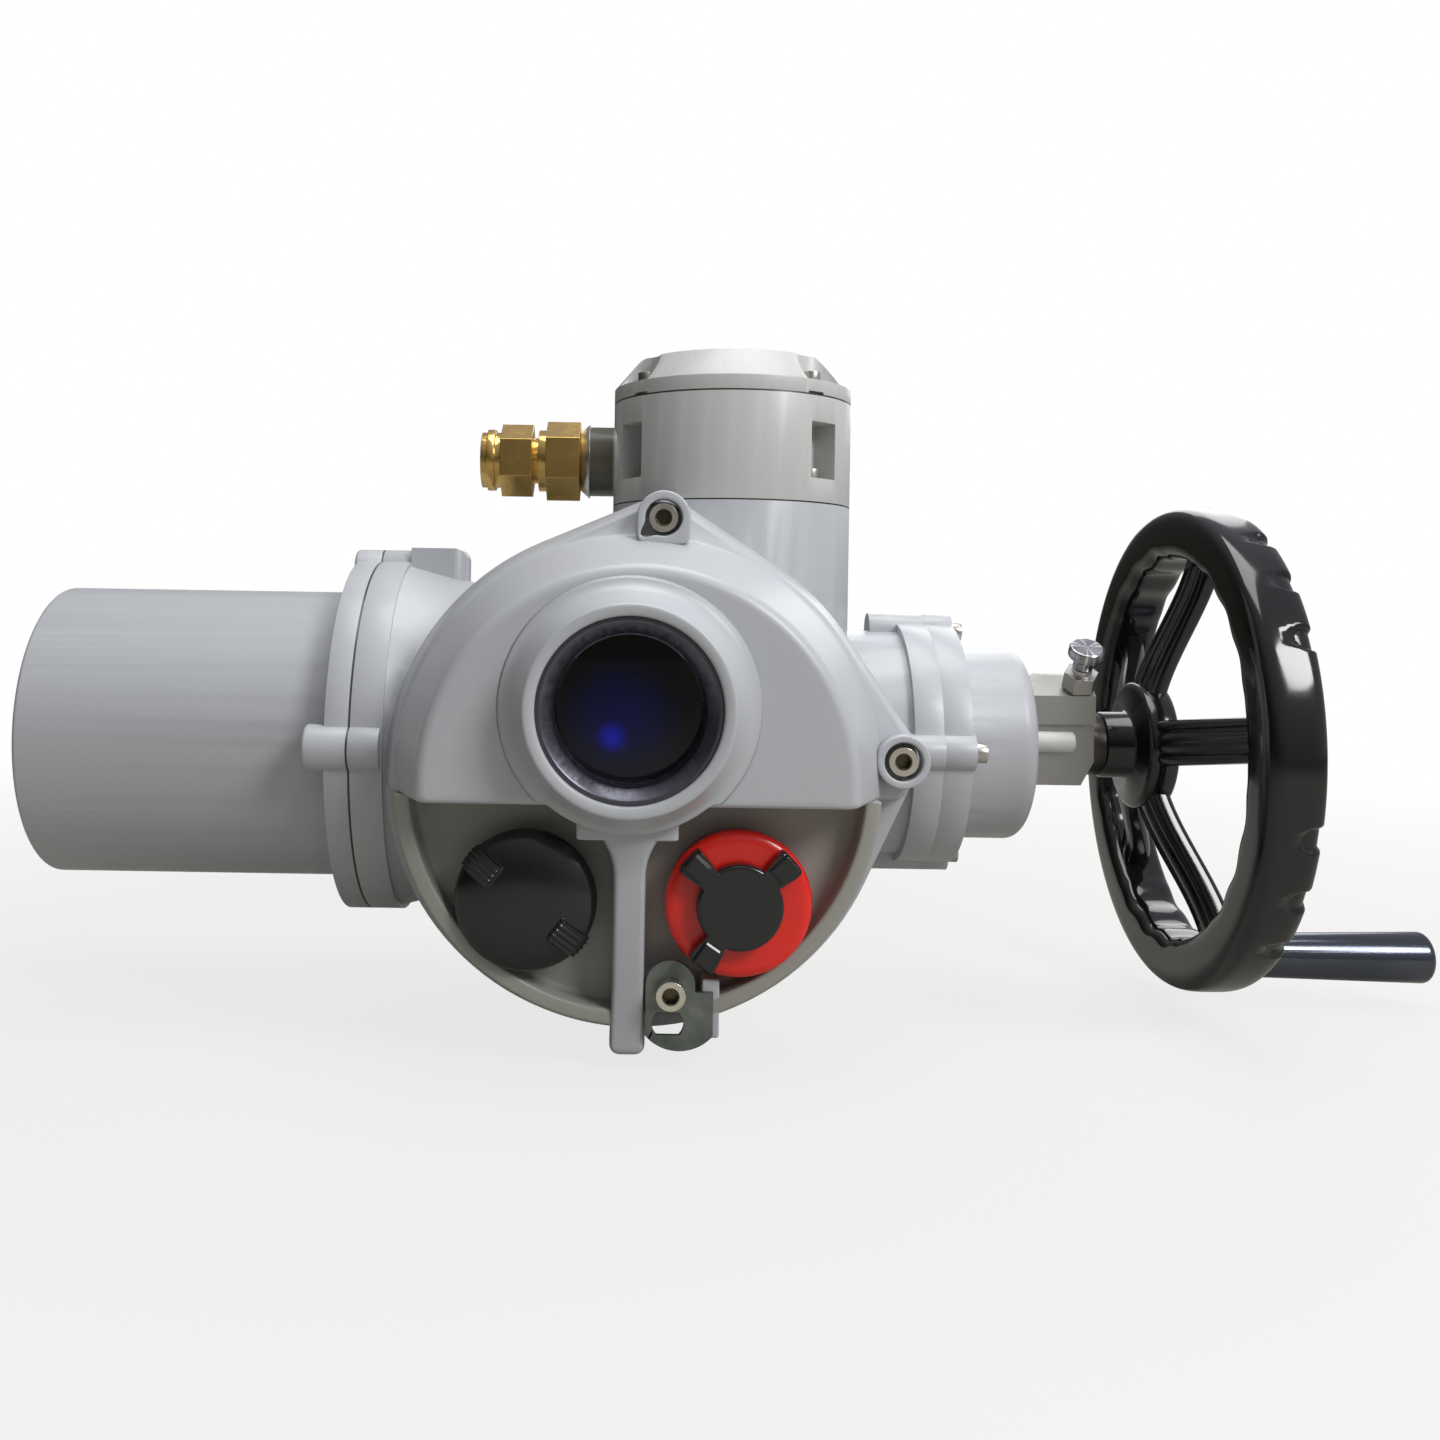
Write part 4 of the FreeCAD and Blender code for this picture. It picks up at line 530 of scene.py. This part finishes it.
turn = np.linspace(-math.pi, math.pi, 1080, endpoint=False)[None, :]
tent = np.maximum(lug_reach(top_lug, turn[0]), lug_reach(side_lug, turn[0]))[None, :]
tent = np.clip(tent - circle_reach(0, cover_z, cover_wide, turn), 0, None)
round_radius = 0.0065
bend = np.linspace(math.pi / 2, cone_slope, 12)
round_y = face_y + round_radius
round_wide = ((round_y - joint_y) * math.sin(cone_slope) - round_radius) / math.cos(cone_slope) + cover_wide
rounded = np.stack([round_wide + round_radius * np.cos(bend), round_y - round_radius * np.sin(bend),
                    0.0016 * np.sin(bend) ** 8, 0 * bend], axis=-1)
depth = np.linspace(rounded[-1, 1], lug_seat - 0.0002, 8)[1:]
flank = np.stack([cover_wide + cone_rise * (depth - joint_y), depth, 0 * depth, 0 * depth], axis=-1)
skirt = [(cover_wide - 0.0050, lug_seat, 0, 0.92), (cover_wide - 0.0046, lug_seat + 0.0004, 0, 0.98),
         (cover_wide - 0.0042, lug_seat + 0.0010, 0, 1.0), (cover_wide - 0.0002, joint_y - 0.0004, 0, 1.0),
         (cover_wide - 0.0003, joint_y, 0, 1.0)]
levels = np.vstack([rounded, flank, skirt])
down = np.minimum(np.sin(turn), -0.001)
reach = circle_reach(0, cover_z, levels[:, :1], turn) + tent * levels[:, 3:]
reach = soft_least(reach, (roof_z + levels[:, 2:3] - window_z) / down, 0.006)
bore = 0.0396
face_in = bore + (reach[:1] - bore) * np.linspace(0, 1, 10)[:-1, None]
back_in = bore + (reach[-1:] - bore) * np.linspace(1, 0, 4)[1:, None]
reach = np.vstack([face_in, reach, back_in])
depth = np.concatenate([np.full(9, face_y), levels[:, 1], np.full(3, joint_y)])[:, None]
grid = np.stack([window_x + reach * np.cos(turn), depth + 0 * turn, window_z + reach * np.sin(turn)], axis=-1)
cover_piece("cover_dome", grid)

# Window boss of the cover: a profile turned about the window's axis. It flares softly into the face,
# and below the roof, where the face ends, it stays a plain rim.
boss_front = -0.2164
bend = np.linspace(0, math.pi / 2, 8)
lip = np.stack([0.0436 + 0.0016 * np.sin(bend), boss_front - 0.0016 * np.cos(bend)], axis=-1)
run = np.linspace(0, 1, 22)
flare = np.stack([0.0452 + 0.0078 * run + 0.0040 * run ** 6, boss_front + 0.0183 * (1 - (1 - run) ** 1.35)],
                 axis=-1)
profile = np.vstack([[(bore, -0.1800), (bore, -0.2172), (0.0404, -0.2180)], lip, flare[1:],
                     [(0.0552, -0.1975), (0.0550, -0.1800)]])
turn = full_turn(480)
radius = profile[:, :1] + 0 * turn
below = smooth(0.040, 0.043, -radius * np.sin(turn))
radius = radius - below * np.clip(radius - 0.0540, 0, None)
cover_piece("cover_boss", np.stack([window_x + radius * np.cos(turn), profile[:, 1:] + 0 * turn,
                                    window_z + radius * np.sin(turn)], axis=-1))

# Lower half of the cover: an open dish with a raised rim, a profile swept round the cover's centre. Its
# enamel is darker and warmer: painted shade under the roof. The rim has a gap at the padlock hole, so that
# a shackle has room.
recess_shade_coat = grey_coat("recess_painted_shade", (0.36, 0.355, 0.32), (0.31, 0.305, 0.27))
bend = np.linspace(0, math.pi / 2, 7)
outer_edge = np.stack([0.1070 + 0.0020 * np.cos(bend), -0.1740 - 0.0020 * np.sin(bend)], axis=-1)
inner_edge = np.stack([0.1030 - 0.0015 * np.sin(bend), -0.1745 - 0.0015 * np.cos(bend)], axis=-1)
hollow = np.stack([0.0985 + 0.0030 * np.cos(bend), -0.1640 + 0.0030 * np.sin(bend)], axis=-1)
floor_run = np.stack([np.linspace(0.0960, 0, 16), np.full(16, -0.1610)], axis=-1)
profile = np.vstack([[(0, -0.1490), (0.1080, -0.1490), (0.1090, -0.1496)], outer_edge, inner_edge, hollow,
                     floor_run])
turn = np.linspace(math.radians(-176.1), math.radians(-3.9), 560)[None, :]
x = profile[:, :1] * np.cos(turn)
z = cover_z + profile[:, :1] * np.sin(turn)
gap_top, gap_floor = 0.0285, -0.1540
gap = smooth(0.0074, 0.0082, x) * (1 - smooth(0.0218, 0.0226, x)) * (z < gap_top)
y = profile[:, 1:] + gap * np.clip(gap_floor - profile[:, 1:], 0, None)
cover_piece("cover_dish", np.stack([x, y, z], axis=-1).transpose(1, 0, 2), recess_shade_coat, close_u=False,
            cap_u=True)


# Rib, step and side foot of the cover: bars whose cross-section is a rounded rectangle. The rib widens in
# a curve towards the step under the window, and its foot is rounded.
def cover_bar(name, corner, height, centre, half, front, back, inset_y):
    """Bar of level sections along Z, each a rounded rectangle given by its half width, front and back."""
    turn = full_turn(72)
    height, half, middle, deep = [np.broadcast_to(value, height.shape)[:, None] for value in
                                  (height, half, (front + back) / 2, (back - front) / 2 - inset_y)]
    x = centre + half * squared(np.cos(turn), corner)
    y = middle + deep * squared(np.sin(turn), corner)
    cover_piece(name, np.stack([x, y, height + 0 * turn], axis=-1), close_u=False, cap_u=True)


rib_foot, foot_round = 0.0070, 0.0040
rise = 1 - np.cos(np.linspace(0, math.pi / 2, 10))
height = np.concatenate([rib_foot + foot_round * rise, np.linspace(0.0125, 0.1150, 70)])
front = -0.1765 - 0.0135 * smooth(0.012, 0.112, height) ** 0.8 - 0.0025 * smooth(0.086, 0.106, height)
half = 0.0071 + 0.0060 * np.clip((height - 0.0870) / 0.0185, 0, 1) ** 2.2
half = half + 0.0008 * smooth(0.040, 0.012, height)
near_foot = np.clip(1 - (height - rib_foot) / foot_round, 0, 1)
inset = foot_round * (1 - np.sqrt(np.clip(1 - near_foot ** 2, 0, None)))
cover_bar("cover_rib", 9, height, -0.00275, half - inset, front, -0.1500, inset * 0.5)
bar_round = 0.0012
bend = np.linspace(0, math.pi / 2, 6)
rise = bar_round * (1 - np.cos(bend))
inset = bar_round * (1 - np.sin(np.concatenate([bend, bend[::-1]])))
for name, low, high, x, half, front, back in (
        ("cover_step", 0.1045, 0.1215, window_x, 0.0222, -0.1925, -0.1760),
        ("cover_side_foot", 0.0150, 0.0410, 0.0340, 0.0040, -0.1758, -0.1490)):
    height = np.concatenate([low + rise, high - rise[::-1]])
    cover_bar(name, 14, height, x, half - inset, front, back, inset)

# Screw lugs of the cover: a round wall stands up about each screw head, and the lowest is a plain post.
# The top wall is round above and square below, and its pocket has a notch towards the lower left.
lug_edge, notch_way, notch_spread = 0.0010, 3.84, 0.30
turn = full_turn(240)
bend = np.linspace(0, math.pi / 2, 6)[:, None]
corner = (np.abs(np.cos(turn)) ** 6 + np.abs(np.sin(turn)) ** 6) ** (-1 / 6)
square_below = np.where(np.sin(turn) < 0, corner - 1, 0)
towards_notch = np.exp(-((turn - notch_way) / notch_spread) ** 2)
for name, (x, z), inner, outer, front, back, square, notch in (
        ("cover_top_lug", top_lug, 0.0083, 0.0121, -0.1700, -0.1590, 1, 0.0046),
        ("cover_side_lug", side_lug, 0.0087, 0.0121, -0.1690, -0.1590, 0, 0),
        ("cover_low_lug", low_lug, 0.0041, 0.0100, -0.1760, -0.1490, 0, 0)):
    wall_in = inner + notch * towards_notch
    wall_out = outer * (1 + square * square_below)
    radius = np.vstack([wall_in, wall_in + lug_edge * (1 - np.cos(bend)),
                        wall_out - lug_edge * (1 - np.sin(bend)), wall_out])
    depth = np.vstack([[[back]], front + lug_edge * (1 - np.sin(bend)), front + lug_edge * (1 - np.cos(bend)),
                       [[back]]])
    grid = np.stack([x + radius * np.cos(turn), depth + 0 * turn, z + radius * np.sin(turn)], axis=-1)
    cover_piece(name, grid)

# Cover screws: plated steel in the three lugs, brighter than the others. Their sockets carry painted shade,
# a dark colour within 4 mm of each screw's axis.
cover_plating = finish("cover_screw_plating", (0.88, 0.84, 0.72), (0.70, 0.66, 0.55), (0.20, 0.34),
                       metallic=1.0, fine=1500, wide=120, strength=0.12)


def away_from(surface, centre, axes=(1, 1, 1)):
    """Distance from a point of the part, counted only along the axes marked 1."""
    tree = surface.node_tree
    return vector_step(tree, "DISTANCE", vector_step(tree, "MULTIPLY", own_place(tree), axes), centre)


head_metal, full_shade_radius = 0.0041, 0.0037
for x, z in (top_lug, side_lug, low_lug):
    off_axis = away_from(cover_plating, (x, 0, z), (1, 0, 1))
    # Painted shade in the hex socket of each screw.
    socket_shade = ramp(cover_plating.node_tree, off_axis, head_metal, full_shade_radius)
    recolour(cover_plating, socket_shade, (0.12, 0.10, 0.065))
dress(cover_plating, "cover_screws", edge=0.0003)

# Turning handle: a turned sleeve of blued, polished steel that spins freely on its spindle at the
# handwheel's rim.
blued = finish("blued_steel", (0.125, 0.135, 0.16), (0.055, 0.063, 0.082), (0.12, 0.22), metallic=0.90,
               wide=18)
dress(blued, "handle_grip", edge=0.0008)

# Black command knob: one moulding in satin black plastic. A domed face on a short straight skirt,
# with two ridged finger tabs near its edge. It turns on a steel pin in the cover's floor.
satin_black = finish("moulded_black", (0.008, 0.008, 0.009), (0.014, 0.014, 0.016), (0.13, 0.21), fine=2200,
                     wide=60, depth=0.0001, coat=0.25)
knob_floor, knob_z = -0.1616, 0.0755


def knob_piece(name, centre_x, radius, height, angle, body, surface, material_slot, replaced):
    """Moulding about a knob's axis, which runs out of the cover: height counts along -Y from its floor."""
    radius, height, angle = np.broadcast_arrays(radius, height, angle)
    grid = np.stack([centre_x + radius * np.cos(angle), knob_floor - height, knob_z + radius * np.sin(angle)],
                    axis=-1)
    add_piece(name, grid, body, surface, material_slot, replaced, close_u=False)


def knob_skirt(narrow, wide, low):
    """Side of a knob as (radius, height): narrow + (wide - narrow)(3 t^2 - 2 t^3) at low + rise t."""
    rise, t = 0.0042, np.linspace(0, 1, 12)[:-1]
    return np.stack([narrow + (wide - narrow) * smooth(0, 1, t), low + rise * t], axis=-1)


command_x, command_radius, command_height = -0.0485, 0.0316, 0.0250
skirt_radius, dome_foot = 0.0291, 0.0160
bore_radius, tab_pitch = 0.00506, 0.0026
turn = full_turn(420)
arc = np.linspace(0, math.pi / 2, 110)
dome_rise = command_height - dome_foot
dome = np.stack([command_radius * np.cos(arc) ** 0.86, dome_foot + dome_rise * np.sin(arc)], axis=-1)
profile = np.vstack([[(0.0, 0.0155), (bore_radius, 0.0155), (bore_radius, 0), (0.0283, 0),
                      (skirt_radius, 0.0008)], knob_skirt(skirt_radius, command_radius, 0.0118), dome])
radius, height = profile[:, :1], profile[:, 1:]
lift = 0
for way in (math.radians(141), math.radians(-39)):
    forward = radius * np.cos(turn - way)
    aside = radius * np.sin(turn - way)
    tab = smooth(0.0165, 0.0180, forward) * (1 - smooth(0.0048, 0.0060, np.abs(aside)))
    lift = lift + tab * (0.0019 + 0.0004 * np.cos(2 * math.pi * aside / tab_pitch))
lift = lift * smooth(0.004, 0.009, height) * (radius > 0.006)
spread = radius + lift * 0.55 * smooth(0.012, 0.029, radius)
knob_piece("black_knob_moulding", command_x, spread, height + lift * 0.8, turn, "command_knob", satin_black,
           "black_gloss", "black_knob")

# Red selector knob: a glossy red moulding on the same kind of steel pin. Its front part swells out over a
# narrower skirt and has a rounded rim. The black cap sits on its face.
red = finish("moulded_red", (0.88, 0.018, 0.008), (0.76, 0.012, 0.005), (0.20, 0.30), fine=900, wide=35,
             depth=0.0001, strength=0.12, coat=0.3)
selector_x, selector_radius, selector_height = 0.0455, 0.0326, 0.0200
skirt_radius, rim_round = 0.0311, 0.0055
arc = np.linspace(0, math.pi / 2, 40)
edge = np.stack([selector_radius - rim_round + rim_round * np.cos(arc), 0.0162 + 0.0036 * np.sin(arc)],
                axis=-1)
profile = np.vstack([[(0.0, 0.0125), (bore_radius, 0.0125), (bore_radius, 0), (0.0303, 0),
                      (skirt_radius, 0.0008)], knob_skirt(skirt_radius, selector_radius, 0.0120), edge,
                     [(0.0200, selector_height), (0.0, selector_height)]])
knob_piece("red_knob_moulding", selector_x, profile[:, :1], profile[:, 1:], turn, "selector_knob", red,
           "red_plastic", "red_knob")

# Black three-armed cap on the red knob: a low disc with three arms that widen a little to a flat end.
# The outline along each ray is the farthest point that lies in the disc or in an arm.
cap_disc, cap_thick, cap_round = 0.0190, 0.0080, 0.0018
arm_end, arm_round = 0.0312, 0.0035
arm_ways = [math.radians(way) for way in (42, 138, 236)]
turn = full_turn(720)
outline = np.full_like(turn, cap_disc)
trial = np.linspace(cap_disc, arm_end * 1.15, 240)[:, None]
for way in arm_ways:
    ahead, aside = trial * np.cos(turn - way), np.abs(trial * np.sin(turn - way))
    half = 0.0050 + 0.0016 * smooth(0.018, 0.030, ahead)
    past_end = np.clip(ahead - arm_end + arm_round, 0, None) / arm_round
    inside = (aside / half) ** 4 + past_end ** 4 <= 1
    outline = np.maximum(outline, np.max(np.where(inside & (ahead > 0), trial, 0), axis=0)[None, :])
arc = np.linspace(0, math.pi / 2, 14)
share = np.concatenate([[0], np.ones(16)])[:, None]
edge_in = np.concatenate([np.zeros(3), cap_round * (1 - np.cos(arc))])[:, None]
level = np.concatenate([[0, 0, 0.001], cap_thick - cap_round + cap_round * np.sin(arc),
                        np.full(59, cap_thick)])
inner = np.linspace(1, 0, 60)[1:, None]
radius = np.vstack([share * outline - edge_in, (outline - cap_round) * inner])
height = level[:, None] + 0 * turn
pads = 0
for way in arm_ways:
    ahead, aside = radius * np.cos(turn - way), np.abs(radius * np.sin(turn - way))
    pads = pads + 0.0010 * smooth(0.0195, 0.0215, ahead) * (1 - smooth(0.0034, 0.0046, aside))
height = height + np.where(height > cap_thick - 0.0005, pads, 0)
knob_piece("selector_cap", selector_x, radius, selector_height + height, turn, "selector_knob", satin_black,
           "black_gloss", "selector_arm")

# White stop pin, green circuit board and terminal strip. The pin is a plain plastic moulding on the
# faceted block; the board and the strip are coated and sit inside the castings.
white = finish("white_pin", (0.78, 0.78, 0.76), (0.70, 0.70, 0.68), (0.38, 0.50), fine=1200)
dress(white, "stop_pin", edge=0.0005)
board = finish("green_board", (0.02, 0.12, 0.05), (0.015, 0.09, 0.04), (0.34, 0.46), wide=150)
dress(board, "control_board", "terminal_block")

# Display behind the glass: near black, with a faint plain panel across its upper part. Two blue glows,
# a wide faint one and a small bright one, add up and fade out from their centres. They are painted light:
# emission on the display face.
face = finish("display_face", (0.002, 0.004, 0.016), (0.001, 0.002, 0.008), (0.30, 0.42), depth=0.00005)
tree = face.node_tree
painted_glow_spots = (((-0.008, -0.182, 0.156), 0.032, 0.085), ((-0.0115, -0.182, 0.1485), 0.0085, 0.58))
painted_glows = [ramp(tree, away_from(face, centre), reach, 0.0, 0.0, strength, "SMOOTHSTEP")
         for centre, reach, strength in painted_glow_spots]
shader = tree.nodes["Principled BSDF"]
shader.inputs["Emission Color"].default_value = (0.004, 0.010, 0.34, 1)
tree.links.new(number_step(tree, "ADD", *painted_glows), shader.inputs["Emission Strength"])
panel = number_step(tree, "MULTIPLY", band(face, "X", -0.0025, 0.0185), band(face, "Z", 0.1760, 0.0046))
recolour(face, panel, (0.060, 0.066, 0.070))
dress(face, "display_module")

# Seals: a cord of black rubber in the cover's joint, lip rings round the shaft and the sleeve, and a ring
# in the gland.
rubber = finish("black_rubber", (0.020, 0.020, 0.020), (0.030, 0.030, 0.029), (0.60, 0.75), fine=1800)
dress(rubber, "cover_seal", "worm_seal", "shaft_seal", "output_seal", "gland_seal")

# Cable gland: body and nut turned from brass bar, bright on the hexagon corners. It screws into the
# tower's boss.
brass = finish("turned_brass", (0.72, 0.48, 0.16), (0.60, 0.38, 0.11), (0.18, 0.32), metallic=1.0,
               fine=1400, wide=90, strength=0.12)
dress(brass, "gland_body", "gland_nut", edge=0.0005)

# Window glass: a thick clear disc with a faint cold tint, seated in the cover's boss. The tint drifts
# slightly over the disc.
glass = bpy.data.materials.new("window_glass")
glass.use_nodes = True
tree = glass.node_tree
clear = tree.nodes["Principled BSDF"]
clear.inputs["Transmission Weight"].default_value = 1.0
clear.inputs["IOR"].default_value = 1.5
clear.inputs["Roughness"].default_value = 0.02
tint = mix_colour(tree, add_grain(tree, 500.0, 40.0)["Tone"], (0.80, 0.85, 1.0), (0.74, 0.80, 0.97))
tree.links.new(tint, clear.inputs["Base Color"])
dress(glass, "window_glass")
